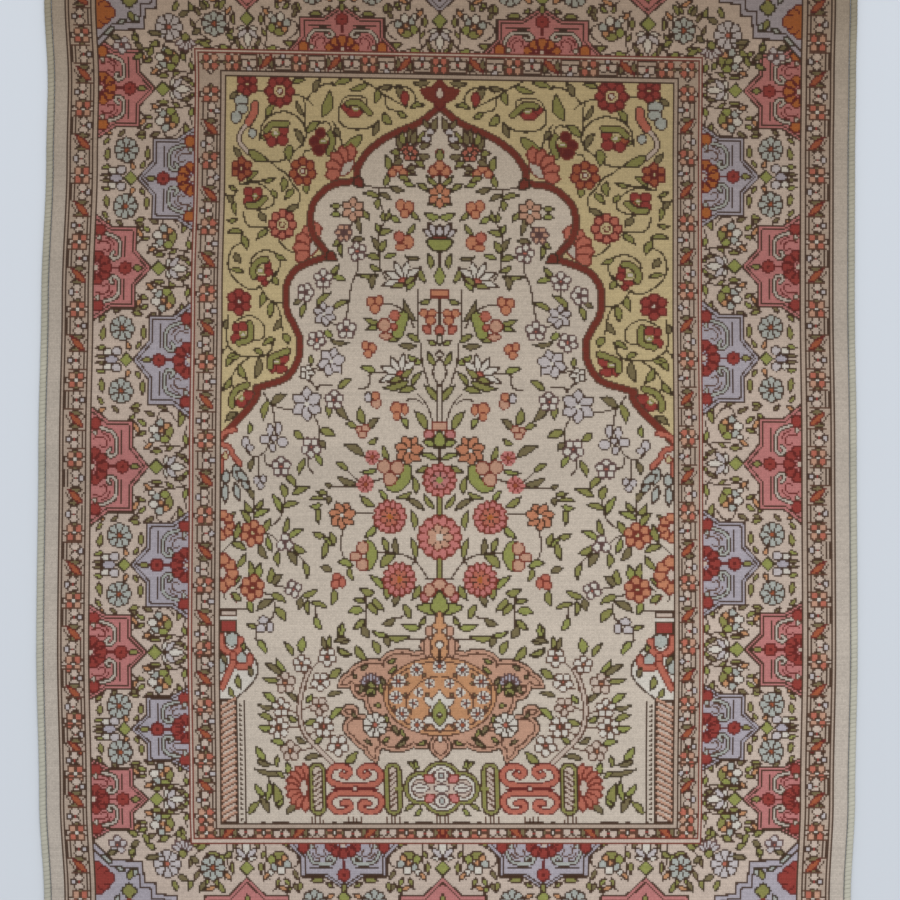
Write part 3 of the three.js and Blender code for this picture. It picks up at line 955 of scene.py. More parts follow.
    def draw_large_flowers(self) -> None:
        """Rosettes, stars, palmettes and lilies of the tree."""
        for x, y, radius in ((-42, -51, 12.5), (-35, -97, 12.5)):
            self.rosette(self.spot(x, y), radius, 14, Dye.ROSE, Dye.CORAL, Dye.SAFFRON)
        stars = (
            # x, y, radius, petals, face, turn
            (-28, -2, 11.5, 7, Dye.APRICOT, 60),
            (-77, -50, 11, 7, Dye.APRICOT, 65),
            (-69, 175, 9.5, 6, Dye.TAN, 90),
            (-85, 63, 11.5, 6, Dye.LILAC, 75),
            (-103, 32, 13, 6, Dye.LILAC, 92),
            (-90, 98, 9.5, 6, Dye.LILAC, 100),
            (-103, 55, 6.5, 5, Dye.PEARL, 70),
        )
        for x, y, radius, petals, face, turn in stars:
            full = 1.3 if face is Dye.TAN else 0.95
            self.star(self.spot(x, y), radius, petals, face, turn, Dye.PEARL, full)
        for x, y in ((-143, -63), (-143, -103)):
            self.daisy(self.spot(x, y), 9.5, 6, Dye.APRICOT, Dye.GOLD, 80, Dye.BRICK)
        crescents = (
            (-30 - 16j, -31 - 23j, -36 - 28j, -41 - 28j),
            (-58 - 72j, -55 - 79j, -58 - 86j),
            (-36 + 84j, -34 + 90j, -32 + 96j),
        )
        for crescent in crescents:
            self.band(smooth(self.seen(*crescent)), Dye.LEAF, 7.0, Dye.MOSS)
        self.draw_lobes(Dye.TAN, (
            (-46, 90, 9, 10), (-45, 82, 9, 5), (-42, -23, 10, 10), (-46, -14, 10, 10),
            (-36.5, -14.5, 10, 10), (-62, -86, 9, 9), (-67, -80, 9, 7), (-62, -73.5, 9, 9),
            (-52, 33, 8, 8), (-64, 13, 6, 6), (-60, 14, 6, 6), (-62, 9.5, 6, 6), (-6, 215, 5, 9),
        ))
        self.draw_lobes(Dye.APRICOT, (
            (-34, 178, 8, 8), (-28, 177, 8, 8), (-31, 172, 7, 7), (-29, 151, 10, 10), (-34, 147.5, 9, 5),
            (-56, 107, 7, 7), (-50, 108, 7, 7), (-53, 102, 7, 7), (-17, 99, 6, 6), (-11, 99, 7, 5),
            (-12, 93.5, 7, 7), (-60, 75, 6, 6), (-55, 73, 6, 8), (-58, 69, 6, 6), (-37, 29, 9, 9),
            (-31, 28, 5, 8), (-37, 23, 6, 6), (-36, 206, 8, 6), (-40, 202, 6, 6), (-32, 202, 6, 6),
            (-53, 38, 7, 6),
        ))
        self.draw_lobes(Dye.CORAL, (
            (-35, 155, 8, 8), (-38.5, 97, 7.6, 7.6), (-81, -95, 7, 5.5), (-82, -100.5, 7, 6),
            (-77, -99, 5, 8), (-31, 220, 6, 6), (-26, 217, 6, 6), (-39, 89, 5, 5),
        ))
        self.draw_lobes(Dye.LILAC, (
            (-148, 4, 6, 9), (-145, 0, 6, 5), (-130, 13, 5, 10), (-124, 14, 5, 10), (-134, 6, 8, 7),
            (-121, 4, 8, 8), (-127, 7, 5, 5), (-128, 0, 5, 7), (-140, -24, 5.4, 5.4),
            (-135, -23, 5.4, 5.4), (-137, -28, 5.4, 5.4), (-135, -127, 8, 6), (-137, -133, 8, 6),
            (-130, -132, 5.5, 8), (-58, 37, 6, 7),
        ), Dye.UMBER)
        self.lily(self.spot(-34, 53), 120, 15)
        self.lily(self.spot(-32, 122), 115, 15)

    def draw_top_cluster(self) -> None:
        """The dark tuft of leaves under the top of the arch."""
        self.stroke(smooth(self.seen(-28 + 211j, -25 + 219j, -19 + 225j, -10 + 231j), 4), Dye.PLUM, 1.2)
        self.draw_leaf_rows((
            (-34, 219, -38, 229, 5), (-31, 222, -33, 233, 5), (-28, 223, -28, 235, 5),
            (-25, 222, -22, 234, 5), (-22, 224, -17, 233, 4.6), (-20, 220, -12, 223, 5),
            (-21, 215, -12, 214, 5), (-23, 211, -17, 205, 5), (-27, 209, -24, 200, 4.6),
            (-33, 212, -40, 208, 5), (-34, 216, -42, 217, 4.6), (-10, 231, -7, 243, 5),
            (-14, 234, -18, 241, 4), (-36, 199, -27, 196, 4.6), (-30, 205, -22, 207, 4),
        ), (Dye.DRAB, Dye.OLIVE, Dye.DRAB), Dye.UMBER)
        self.daisy(self.spot(-27, 216), 5.8, 5, Dye.CORAL, Dye.SHELL, 90, Dye.UMBER, FINE)
        self.draw_lobes(Dye.LILAC, ((-15, 227, 8, 5), (-12, 232, 6, 5)), Dye.UMBER)

    def draw_small_flowers(self) -> None:
        """Small flowers of the tree, filled or in outline."""
        small = (
            # x, y, radius, face, petals, turn
            (-76, 158, 6.5, Dye.TAN, 6, 0),
            (-66, 144, 7.0, Dye.PEARL, 5, 30),
            (-74, 87, 7.4, Dye.PEARL, 5, 90),
            (-96, 79, 7.0, Dye.PEARL, 5, 60),
            (-91, 124, 7.2, Dye.PEARL, 5, 90),
            (-104, 114, 6.8, Dye.PEARL, 5, 0),
            (-83, 35, 7.2, Dye.PEARL, 5, 90),
            (-100, 0, 7.6, Dye.PEARL, 5, 270),
            (-122, -14, 7.4, Dye.PEARL, 5, 90),
            (-113, -104, 6.4, Dye.PEARL, 4, 20),
            (-119, -70, 6.8, Dye.PEARL, 3, 90),
        )
        for x, y, radius, face, petals, turn in small:
            self.daisy(self.spot(x, y), radius, petals, face, Dye.CORAL, turn, Dye.PLUM)
        self.spoked(self.spot(-55, -7), 5.6, 7, Dye.ROSE, Dye.BRICK)
        self.spoked(self.spot(-60, -27), 6.6, 8, Dye.ROSE, Dye.BRICK)
        for y, radius in ((-58, 11), (-93, 14)):
            self.half_rosette(complex(-FIELD_HALF_WIDTH - 1, y), 0, radius, Dye.APRICOT)
        self.draw_top_cluster()

    def draw_vase(self) -> None:
        """The vase: a lobed body with a double outline, round a flowered medallion."""
        body = (
            Lobe(-183j, 57, 35),
            Lobe(-28 - 160j, 17, 12), Lobe(-53 - 167j, 17, 11, 15), Lobe(-68 - 171j, 10, 5.5, 35, True),
            Lobe(-59 - 179j, 8, 6, -40), Lobe(-60 - 206j, 12.5, 10), Lobe(-67 - 194j, 7, 5),
            Lobe(-55 - 214j, 14, 9, -30), Lobe(-51 - 223j, 10, 6, -70, True), Lobe(-32 - 214j, 16, 10),
            Lobe(-14 - 213j, 11, 9), Lobe(-12 - 146j, 5, 2.6, 105, True),
        )
        edges = ((0.6, Dye.UMBER), (-0.7, Dye.TAN), (-2.5, Dye.COCOA), (-3.8, Dye.TAN))
        for edge in edges:
            with self.mirrored():
                self.lobed(body, [edge])
        with self.mirrored():
            self.draw_vase_sides()
        self.lobed([Lobe(-219j, 11, 8.5, 90, True)], edges)
        self.shape(ring(2.4, 10) - 214j, Dye.PEARL, Dye.COCOA, FINE)
        oval_edges = ((0.6, Dye.COCOA), (-0.7, Dye.FAWN), (-2.5, Dye.COCOA), (-3.8, Dye.FAWN))
        self.lobed([Lobe(-183j, 41.5, 29)], oval_edges)
        self.draw_medallion()
        self.draw_neck()

    def draw_vase_sides(self) -> None:
        """The flowers and leaves on one side of the vase's body."""
        with self.placed(-51 - 171j):
            for lean in (165, 15, 140, 40, 115, 65, 90):
                self.shape_at(-3j, lean, petal(8.5, 3.6, 1.2), Dye.LAVENDER, Dye.PLUM, FINE)
            self.shape(oval(8, 11, 28) - 7j, Dye.OLIVE, Dye.MOSS)
        self.marguerite(self.spot(-53, -204), 9.4, 9, Dye.PEARL, Dye.CORAL)
        self.draw_leaf_rows((
            (-36, -217, -28, -213, 3), (-30, -215, -38, -220, 3), (-22, -219, -15, -215, 3),
            (-41, -204, -36, -212, 3.6), (-34, -206, -30, -214, 3.2), (-59, -175, -55, -183, 3.4),
            (-53, -177, -60, -182, 3.2), (-66, -170, -69, -166, 3), (-43, -166, -37, -160, 3),
            (-66, -199, -70, -194, 3), (-48, -191, -54, -189, 3), (-62, -174, -65, -181, 3.4),
            (-49, -173, -47, -182, 3.4), (-45, -175, -48, -168, 3), (-44, -158, -37, -155, 3),
            (-61, -215, -55, -219, 3), (-42, -213, -47, -218, 3), (-63, -164, -58, -160, 3),
            (-45, -196, -42, -203, 3.2),
        ), (Dye.OLIVE, Dye.DRAB))

    def draw_medallion(self) -> None:
        """The vase's oval: a garland of small flowers round a pointed window with a leaf."""
        with self.mirrored():
            stem = smooth([1 - 168j, 9 - 170j, 19 - 177j, 25 - 188j, 22 - 199j, 12 - 208j], 5)
            self.stroke(stem, Dye.COCOA, 1.0)
            for x, y in ((-17, -163.5), (-30.5, -172), (-32, -184), (-28, -196), (-17, -204)):
                self.spoked(complex(x, y), 5.0)
            for x, y in ((-7, -173.5), (-15.5, -180), (-19, -188)):
                self.spoked(complex(x, y), 3.6, 5)
            for x, y, turn in (
                (-24, -166, 250), (-22, -173, 200), (-25, -180, 260), (-23, -192, 300), (-10, -166, 230),
                (-12, -206, 20), (-36, -178, 100), (-34, -190, 280), (-10, -180, 300),
            ):
                self.leaf(complex(x, y), turn, 4.6, 2.4, Dye.DRAB, Dye.COCOA)
        self.spoked(-161j, 5.2)
        window = (
            Lobe(-188j, 10, 6.5, 90, True), Lobe(-199j, 10, 7, 90, True), Lobe(-194j, 7.5, 8.5),
            Lobe(-7 - 187j, 5.5, 3, -35, True), Lobe(7 - 187j, 5.5, 3, 35, True),
            Lobe(-7.5 - 200j, 5.5, 3.2, 20, True), Lobe(7.5 - 200j, 5.5, 3.2, -20, True),
        )
        self.lobed(window, ((0.5, Dye.COCOA), (-0.7, Dye.PEARL)))
        self.lobed((Lobe(-195j, 10, 6, 90, True),), ((0.4, Dye.MOSS), (-0.8, Dye.OLIVE), (-2.2, Dye.LEAF)))
        self.fill(ring(2.3, 10) - 196.5j, Dye.UMBER)
        self.fill(ring(1.2, 8) - 196.5j, Dye.CREAM)

    def draw_neck(self) -> None:
        """The vase's neck, with a stopper between two small petals."""
        with self.mirrored():
            for shoulder in (Lobe(-9 - 147j, 2.6, 7.5), Lobe(-8 - 135j, 2.8, 4.4)):
                self.lobed([shoulder], ((0.4, Dye.COCOA), (-0.8, Dye.TAN)))
        neck = (Lobe(-129j, 3, 9), Lobe(-131j, 5.5, 3.4), Lobe(-143j, 6.4, 7.5), Lobe(-150j, 6.4, 7))
        self.lobed(neck, ((0.5, Dye.COCOA), (-0.8, Dye.FAWN)))
        self.stroke([-148j, -158j], Dye.UMBER, 1.3)
        for level in (-150, -154):
            self.stroke([-2.4 + level * 1j, 2.4 + level * 1j], Dye.UMBER, 1.1)
        self.shape(ring(2.9, 10) - 145j, Dye.PEARL, Dye.COCOA)

    def draw_vase_branches(self) -> None:
        """The flowering branch on each side of the vase."""
        with self.mirrored():
            stem = smooth(self.seen(
                -83 - 233j, -94 - 222j, -104 - 211j, -108 - 199j, -108 - 186j, -105 - 173j, -101 - 163j))
            twigs = (
                (-108 - 190j, -113 - 184j, -119 - 176j), (-106 - 178j, -98 - 176j, -94 - 172j),
                (-108 - 194j, -101 - 190j, -95 - 190j), (-107 - 205j, -114 - 206j, -122 - 206j),
                (-103 - 212j, -97 - 209j, -92 - 206j), (-96 - 220j, -104 - 222j, -113 - 222j),
                (-92 - 224j, -87 - 222j, -81 - 219j), (-108 - 197j, -114 - 194j, -122 - 191j),
                (-102 - 166j, -95 - 158j, -89 - 154j), (-104 - 170j, -106 - 164j, -106 - 159j),
            )
            for twig in twigs:
                self.stroke(smooth(self.seen(*twig), 4), Dye.COCOA, 1.1)
            self.stroke(stem, Dye.COCOA, 4.4)
            self.stroke(stem, Dye.SHELL, 1.9)
            flowers = (
                (-107, -159, 6.8), (-88, -154, 7), (-119, -173, 8), (-93, -172, 7.2), (-122, -191, 7),
                (-94, -190, 7), (-124, -206, 8.2), (-91, -205, 8.2), (-115, -223, 7.6), (-80, -219, 8),
            )
            for index, (x, y, radius) in enumerate(flowers):
                petals = 6 if radius > 8 else 5
                face = (Dye.PEARL, Dye.PEARL, Dye.SHELL)[index % 3]
                eye = (Dye.APRICOT, Dye.CORAL)[index % 2]
                self.daisy(self.spot(x, y), radius, petals, face, eye, 18 + 36 * (index % 2), Dye.COCOA, FINE)
            self.draw_leaf_rows((
                (-113, -153, -120, -143, 4), (-107, -151, -105, -139, 6.5), (-90, -149, -92, -139, 4),
                (-86, -148, -86, -138, 3.6), (-79, -141, -77, -128, 3.6), (-83, -143, -72, -141, 4),
                (-80, -148, -70, -152, 4), (-118, -165, -126, -154, 4), (-122, -167, -134, -159, 5),
                (-123, -171, -136, -169, 4), (-126, -188, -136, -180, 5), (-127, -191, -139, -189, 3.6),
                (-128, -201, -139, -196, 4.6), (-129, -206, -139, -205, 5), (-110, -187, -118, -180, 4),
                (-110, -201, -117, -197, 4), (-104, -187, -99, -181, 4), (-88, -183, -77, -180, 4),
                (-105, -203, -96, -199, 4), (-86, -200, -76, -191, 5), (-111, -213, -103, -217, 4),
                (-97, -218, -91, -213, 4), (-119, -218, -130, -216, 4.6), (-105, -229, -92, -227, 4),
                (-75, -232, -66, -223, 6), (-133, -230, -140, -219, 5), (-140, -230, -128, -233, 3.6),
                (-125, -235, -124, -226, 3.4), (-117, -240, -118, -231, 5), (-119, -239, -142, -236, 4),
                (-124, -266, -128, -246, 7), (-134, -256, -141, -247, 4.4), (-131, -269, -138, -256, 5),
                (-146, -270, -137, -260, 5), (-133, -261, -131, -243, 4), (-118, -269, -108, -262, 5),
            ), (Dye.OLIVE, Dye.LEAF, Dye.DRAB))

    def draw_base(self) -> None:
        """The low frieze under the vase: rods, scroll panels, half flowers and a quatrefoil."""
        with self.mirrored():
            self.half_rosette(self.spot(-102, -250), 180, 17, Dye.CORAL, Dye.SHELL, 9)
            for x in (-95, -39.5):
                self.draw_rod(self.spot(x, -251))
            self.draw_scroll_panel(self.spot(-67.5, -251))
            for middle in (-95, -67.5, -39.5):
                for step in self.TEETH:
                    tooth = self.seen(complex(middle + step, -271), complex(middle + step, -277))
                    self.stroke(tooth, Dye.COCOA, 1.0)
            self.stroke(self.seen(-37 - 250.5j, -29 - 250.5j), Dye.OLIVE, 3.0)
            self.draw_leaf_rows((
                (-23, -237, -29, -231, 3.4), (-21, -236, -24, -229, 3.2), (-24, -263, -31, -267, 3.4),
                (-19, -265, -24, -271, 3.4), (-120, -243, -126, -238, 3.6), (-120, -259, -126, -263, 3.6),
            ), (Dye.OLIVE, Dye.LEAF))
        for step in self.TEETH:
            self.stroke([complex(step, -270), complex(step, -277)], Dye.COCOA, 1.0)
        frame = (Lobe(-250.5j, 17, 20), Lobe(-16 - 250.5j, 12, 12.5), Lobe(16 - 250.5j, 12, 12.5))
        edges = ((0.5, Dye.UMBER), (-0.7, Dye.OLIVE), (-2.4, Dye.UMBER), (-3.5, Dye.PEARL),
                 (-5.4, Dye.COCOA), (-6.4, Dye.SHELL))
        self.lobed(frame, edges)
        with self.placed(-250.5j):
            for turn in (38, 142, 218, 322):
                self.shape_at(11.5 * heading(turn), turn, petal(9, 6.5) - 4.5, Dye.ROSE, Dye.BRICK, FINE)
            for side in (-1, 1):
                self.lobed([Lobe(side * 15.5, 7.5, 3.8, 0, True)], ((0.4, Dye.PLUM), (-0.8, Dye.PEARL)))
                self.stroke([side * 11.5, side * 19.5], Dye.PLUM, 1.0)
                self.shape(side * 9.3j + ring(5.2, 14), Dye.PEARL, Dye.PLUM, FINE)
                self.shape(side * 9.3j + ring(2.3, 10), Dye.MIST, Dye.PLUM, FINE)
            self.shape(oval(11, 6, 28), Dye.PEARL, Dye.PLUM, FINE)

    def draw_rod(self, at: complex) -> None:
        """An upright rod with round ends and a slanting stripe."""
        half_width, half_length = 6.3, 19.5
        straight = half_length - half_width
        levels = np.linspace(-straight, straight, 19)
        rod = [Lobe(at + level * 1j, half_width, half_width) for level in levels]
        self.lobed(rod, ((0.5, Dye.UMBER), (-0.8, Dye.OLIVE), (-2.6, Dye.UMBER), (-3.6, Dye.SHELL)))
        with self.placed(at):
            for level in np.arange(-straight, straight - 2, 3.8):
                self.stroke([complex(-2.2, level), complex(2.2, level + 3.6)], Dye.COCOA, 1.2)

    def draw_scroll_panel(self, at: complex) -> None:
        """Four C scrolls that curl back to back from a bar, with a bead in the middle."""
        with self.placed(at):
            bow = smooth([0.5 + 2.8j, 11 + 2.9j, 18 + 5.5j, 19.5 + 11j, 15.5 + 16j, 8.5 + 16.5j, 3.5 + 13j,
                          6 + 9.5j, 10 + 10.5j], 5)
            for width, dye in ((5.4, Dye.OXBLOOD), (3.3, Dye.CORAL)):
                for curl in (bow, np.conj(bow), -bow, -np.conj(bow)):
                    self.stroke(curl, dye, width)
            self.stroke([-18, 18], Dye.OXBLOOD, 1.1)
            self.shape(ring(2.2, 10), Dye.SHELL, Dye.OXBLOOD, FINE)

    def draw_columns(self) -> None:
        """The half columns at the frame: capital, scrolled bracket, striped shaft."""
        with self.mirrored():
            edge = -FIELD_HALF_WIDTH
            self.shape(box_outline(edge, -154, -124, -120), Dye.SHELL)
            self.shape(box_outline(edge, -154, -136, -128), Dye.MADDER)
            self.fill(box_outline(edge, -154, -128, -124), Dye.COCOA)
            self.stroke([edge - 126j, -154 - 126j], Dye.PEARL, 1.6)
            self.stroke([edge - 119j, -147 - 119j], Dye.UMBER, 1.4)
            bracket = smooth(self.seen(
                -154 - 137j, -147 - 147j, -140 - 158j, -140 - 168j, -148 - 178j, -156 - 185j), 4)
            self.fill(np.concatenate([[edge - 137j], bracket, [edge - 186j]]), Dye.PEARL)
            self.stroke(bracket, Dye.UMBER, 1.5)
            clouds = ((-166, -158, 8, 15), (-158, -141, 11, 10), (-151, -155, 9, 9))
            self.draw_lobes(Dye.MIST, clouds, Dye.UMBER)
            for path in ((-166 - 139j, -165 - 147j, -158 - 151j, -152 - 147j, -152 - 141j),
                         (-145 - 154j, -146 - 160j, -152 - 161j, -157 - 158j, -157 - 152j),
                         (-157 - 158j, -161 - 167j, -165 - 176j)):
                self.band(smooth(self.seen(*path), 4), Dye.CORAL, 3.6, Dye.BRICK)
            self.draw_leaf_rows((
                (-149, -143, -149, -150, 3.6), (-146, -161, -144, -169, 4), (-154, -167, -151, -178, 5),
                (-166, -152, -162, -160, 4), (-160, -176, -156, -184, 4),
            ), (Dye.OLIVE, Dye.DRAB))
            self.shape(box_outline(edge, -155, FIELD_BOTTOM, -186), Dye.SHELL)
            for level in np.arange(-274, -190, 4.6):
                for drop, dye, width in ((0, Dye.TAN, 2.2), (1.2, Dye.COCOA, 1.1)):
                    self.stroke([edge + (level - drop) * 1j, -155.5 + (level - drop + 6) * 1j], dye, width)
            for level in np.arange(-273, -188, 3.6):
                self.fill(complex(-151.5, level) + box_outline(-1.2, 1.2, -1.2, 1.2), Dye.UMBER)
            for x in (-148.5, -154.4):
                self.stroke([complex(x, FIELD_BOTTOM), complex(x, -186)], Dye.UMBER, 1.2)
            self.stroke(self.seen(-165 - 104j, -163 - 112j), Dye.UMBER, 1.2)
            self.stroke(self.seen(-160 - 107j, -155 - 114j), Dye.OXBLOOD, 1.2)
            self.draw_arch_foot()

    def draw_arch_foot(self) -> None:
        """Where the arch meets the frame: red hooks over a hanging grey lily."""
        for path in ((-167 + 7j, -162 + 12j, -156 + 13j), (-167 + 3j, -160 + 0j, -157 - 6j, -152 - 12j),
                     (-166 - 9j, -166 - 16j, -166 - 23j)):
            self.band(smooth(self.seen(*path), 4), Dye.CORAL, 2.6, Dye.BRICK)
        self.draw_lobes(Dye.GOLD, ((-163, -6, 4, 6),), Dye.BRICK)
        for x, y, turn, length, width in (
            (-156, -12, 285, 14, 8), (-162, -16, 265, 12, 6), (-155, -17, 320, 13, 6),
            (-163, -26, 270, 15, 5.5), (-156, -26, 285, 14, 5.5), (-151, -24, 310, 12, 5),
        ):
            self.shape_at(self.spot(x, y), turn, petal(length, width, 0.9), Dye.MIST)


class FramePlan(NichePlan):
    """The borders round the niche, and the whole cartoon in the order it is drawn."""

    # Middles of the side borders' cartouches on the laid cloth. Odd ones stand on the inner edge.
    LEFT_STEPS = (264.0, 198.0, 132.0, 64.5, -14.0, -86.3, -150.5, -207.0, -258.5)
    RIGHT_STEPS = (262.0, 199.0, 133.0, 65.5, -12.0, -85.5, -148.5, -206.0, -258.5)
    FULL_STEP = 73.0  # way between two middles where nothing is beaten tighter
    END_STEP = 74.5
    GUARD_REPEAT = 54.0

    def draw(self) -> None:
        """Draw the whole design, from the grounds up."""
        self.draw_grounds()
        self.draw_spandrels()
        self.draw_columns()
        self.draw_tree()
        self.draw_vase()
        self.draw_vase_branches()
        self.draw_base()
        self.draw_main_border()
        self.draw_guards()
        self.draw_frame_lines()

    def draw_grounds(self) -> None:
        """The ground of each band, from the outside in."""
        grounds = (
            # half width, bottom, top, dye
            (300.0, -HALF_PILE_LENGTH, HALF_PILE_LENGTH, Dye.CREAM),
            (GUARD_OUTER, -GUARD_END, GUARD_END, Dye.SAND),
            (BORDER_OUTER, -BORDER_END, BORDER_END, Dye.SHELL),
            (BORDER_INNER, FRAME_BOTTOM, FRAME_TOP, Dye.SAND),
            (FIELD_HALF_WIDTH, FIELD_BOTTOM, FIELD_TOP, Dye.IVORY),
        )
        for half, bottom, top, dye in grounds:
            self.fill(box_outline(-half, half, bottom, top), dye)

    def draw_frame_lines(self) -> None:
        """The double lines between the bands."""
        lines = (
            # half width, bottom, top, way between the two lines, ground, dye
            (284.8, -GUARD_END + 1.2, GUARD_END - 1.2, 2.6, Dye.SAND, Dye.UMBER),
            (265.2, -BORDER_END - 2.2, BORDER_END + 2.2, 3.4, Dye.SAND, Dye.UMBER),
            (188.8, FRAME_BOTTOM + 1.7, FRAME_TOP - 1.7, 2.8, Dye.SHELL, Dye.BRICK),
            (168.8, FIELD_BOTTOM - 2.3, FIELD_TOP + 2.3, 3.6, Dye.SAND, Dye.UMBER),
        )
        for half, bottom, top, apart, ground, dye in lines:
            for out, line, width in ((0.0, ground, apart), (apart / 2, dye, KNOT), (-apart / 2, dye, KNOT)):
                side, low, high = (self.on_knots(edge) for edge in (half + out, bottom - out, top + out))
                self.stroke(box_outline(-side, side, low, high), line, width, closed=True)

    @staticmethod
    def on_knots(place: float) -> float:
        """The middle of the line of knots that a place falls in, so that a thin line keeps its width."""
        return math.copysign((math.floor(abs(place) / KNOT) + 0.5) * KNOT, place)

    def draw_cartouche(self, at: complex, turn: float, face: Dye, heart: Dye = Dye.MADDER,
                       stretch: float = 1.0, depth: float = 1.0) -> None:
        """A half star that stands on the border's edge, with a palmette, a bud and two scrolls.

        Its own real axis runs into the border and its imaginary axis along it.

        Args:
            at: The middle of its base.
            turn: Heading of its tip.
            face: Dye of its ground.
            heart: Dye of its palmette.
            stretch: Its size along the border.
            depth: Its size across the border.
        """
        def stretched(*points: complex) -> np.ndarray:
            return np.array([complex(depth * point.real, stretch * point.imag) for point in points])

        def both(*points: complex) -> np.ndarray:
            half = stretched(*points)
            return np.concatenate([half, np.conj(half[::-1])])

        pale, curl_dye = (Dye.MIST, Dye.COCOA) if face is Dye.LAVENDER else (Dye.CREAM, Dye.OXBLOOD)
        with self.placed(at, turn):
            self.shape(both(-2 + 44j, 13 + 32.5j, 30.8 + 32.5j, 30.8 + 14.5j, 42.8 + 0j), face)
            inner = both(-2 + 40.6j, 12.2 + 29.8j, 28.2 + 29.8j, 28.2 + 13.4j, 39.4 + 0j)
            self.stroke(inner, Dye.UMBER, FINE)
            for side in (1, -1):
                with self.placed(0j, flip=side < 0):
                    scroll = smooth(stretched(5 + 28j, 12 + 26j, 17.5 + 22.5j, 19 + 15j, 18 + 9j, 14 + 7j,
                                              12.3 + 10j, 14.5 + 12.5j), 4)
                    self.stroke(scroll, Dye.UMBER, 3.7)
                    self.stroke(scroll, pale, 1.6)
                    for curl in (
                        (2 + 20j, 8 + 21j, 12 + 17j, 10 + 13.5j, 6.5 + 15j),
                        (8 + 24j, 12 + 22j, 14.5 + 18j),
                    ):
                        self.stroke(smooth(stretched(*curl), 4), curl_dye, FINE)
                    self.stroke(stretched(22.6 + 9j, 22.6 + 26j), Dye.UMBER, FINE)
                    self.shape(stretched(3.2 + 30.5j) + scallop(4.3, 6, 0.15), heart, Dye.OXBLOOD, FINE)
                    self.shape(stretched(3 + 24j) + ring(2.0, 8), pale, Dye.COCOA, 1.0)
            for spot in stretched(3 + 9.5j, 3 - 9.5j, 7.4 + 5.6j, 7.4 - 5.6j):
                self.shape(spot + ring(3.9, 14), heart, Dye.OXBLOOD, FINE)
            self.shape(stretched(9 + 0j) + ring(4.2, 14), heart, Dye.OXBLOOD, FINE)
            for spot in stretched(1 + 10j, 1 - 10j, 6 + 8j, 6 - 8j, 10 + 3j, 10 - 3j):
                self.stroke([0, spot], Dye.OXBLOOD, 1.0)
            self.fill(ring(1.8, 8) + 1.0, Dye.SHELL)
            self.stroke([13, 19], Dye.OXBLOOD, 1.8)
            self.shape(23.2 + scallop(4.9, 8, 0.18), Dye.MADDER, Dye.OXBLOOD, FINE)
            self.fill(23.2 + ring(1.3, 8), Dye.OXBLOOD)
            self.leaf(28.8, 0, 8, 4.2, line=Dye.UMBER)

    def draw_crown_leaves(self, rows: Sequence[Row], stretch: float) -> None:
        """Slender leaves on both sides of a cartouche's tip, in its own frame.

        Args:
            rows: Base x and y, tip x and y, width, of each leaf on one side.
            stretch: Size along the border.
        """
        faces = (Dye.OLIVE, Dye.DRAB, Dye.LEAF, Dye.OLIVE, Dye.FAWN)
        for side in (1, -1):
            for index, (x, y, tip_x, tip_y, width) in enumerate(rows):
                base = complex(x, side * stretch * y)
                step = complex(tip_x, side * stretch * tip_y) - base
                turn = math.degrees(np.angle(step))
                self.leaf(base, turn, abs(step), width, faces[index % 5], Dye.UMBER)

    def draw_pink_crown(self, at: complex, turn: float, stretch: float) -> None:
        """What grows past the tip of a cartouche that stands on the outer edge.

        Args:
            at: The tip.
            turn: Heading of the tip.
            stretch: Size along the border.
        """
        with self.placed(at, turn):
            for side in (1, -1):
                with self.placed(0j, flip=side < 0):
                    self.draw_two_toned(complex(6.5, 25.5 * stretch))
                    for stem in (
                        (20 + 32j, 15 + 39j, 8 + 39j, 5 + 33j), (28 + 13j, 16 + 15.5j, 4 + 14j, -4 + 18j),
                        (28 + 30j, 26 + 22j, 27 + 16j, 22 + 10j), (-2 + 25j, -8 + 24j, -11 + 20j),
                    ):
                        path = [complex(point.real, stretch * point.imag) for point in stem]
                        self.stroke(smooth(path), Dye.UMBER, FINE)
            for lean, length, width, face in (
                (0, 15, 6, Dye.PEARL), (88, 8.5, 4, Dye.PEARL), (-88, 8.5, 4, Dye.PEARL),
                (48, 11.5, 4.6, Dye.LILAC), (-48, 11.5, 4.6, Dye.LILAC),
            ):
                self.shape_at(12.5, lean, petal(length, width), face, width=FINE)
            self.shape([-0.5, 5 + 5.6j, 11, 5 - 5.6j], Dye.LEAF, Dye.MOSS, FINE)
            self.draw_crown_leaves((
                (25, 38, 22, 28, 4.2), (4, 36, -4, 40, 3.4), (-2, 29, -9, 34, 3.4), (-2, 25, -9, 22, 3.2),
                (2, 17, -4, 12, 3.4), (10, 11, 0, 11, 3.2), (28, 6, 19, 10, 3.4), (28, 15, 26, 24, 3.6),
                (18, 15, 12, 11, 3.0), (-8, 24, -12, 33, 3.4), (21, 36, 27, 43, 3.4), (13, 41, 5, 44, 3.0),
                (29, 2.5, 25, 7, 2.6),
            ), stretch)

    def draw_two_toned(self, at: complex) -> None:
        """A flower with pale blue petals on one side and green and gold ones on the other."""
        with self.placed(at):
            for spot, width, height, face in (
                (8, 6, 11, Dye.OLIVE), (5 - 6j, 7, 6, Dye.LEAF), (6 + 4j, 5, 5, Dye.FAWN),
                (1.5 + 6j, 6, 6, Dye.MIST), (-3 + 1j, 7, 6.5, Dye.PEARL), (-1 - 4.5j, 6.5, 5.5, Dye.MIST),
                (-4.5 - 7j, 5, 4.5, Dye.PEARL),
            ):
                self.shape(spot + oval(width, height, 14), face, width=FINE)
            self.shape(2.5 + ring(1.9, 10), Dye.FAWN, Dye.COCOA, 1.0)

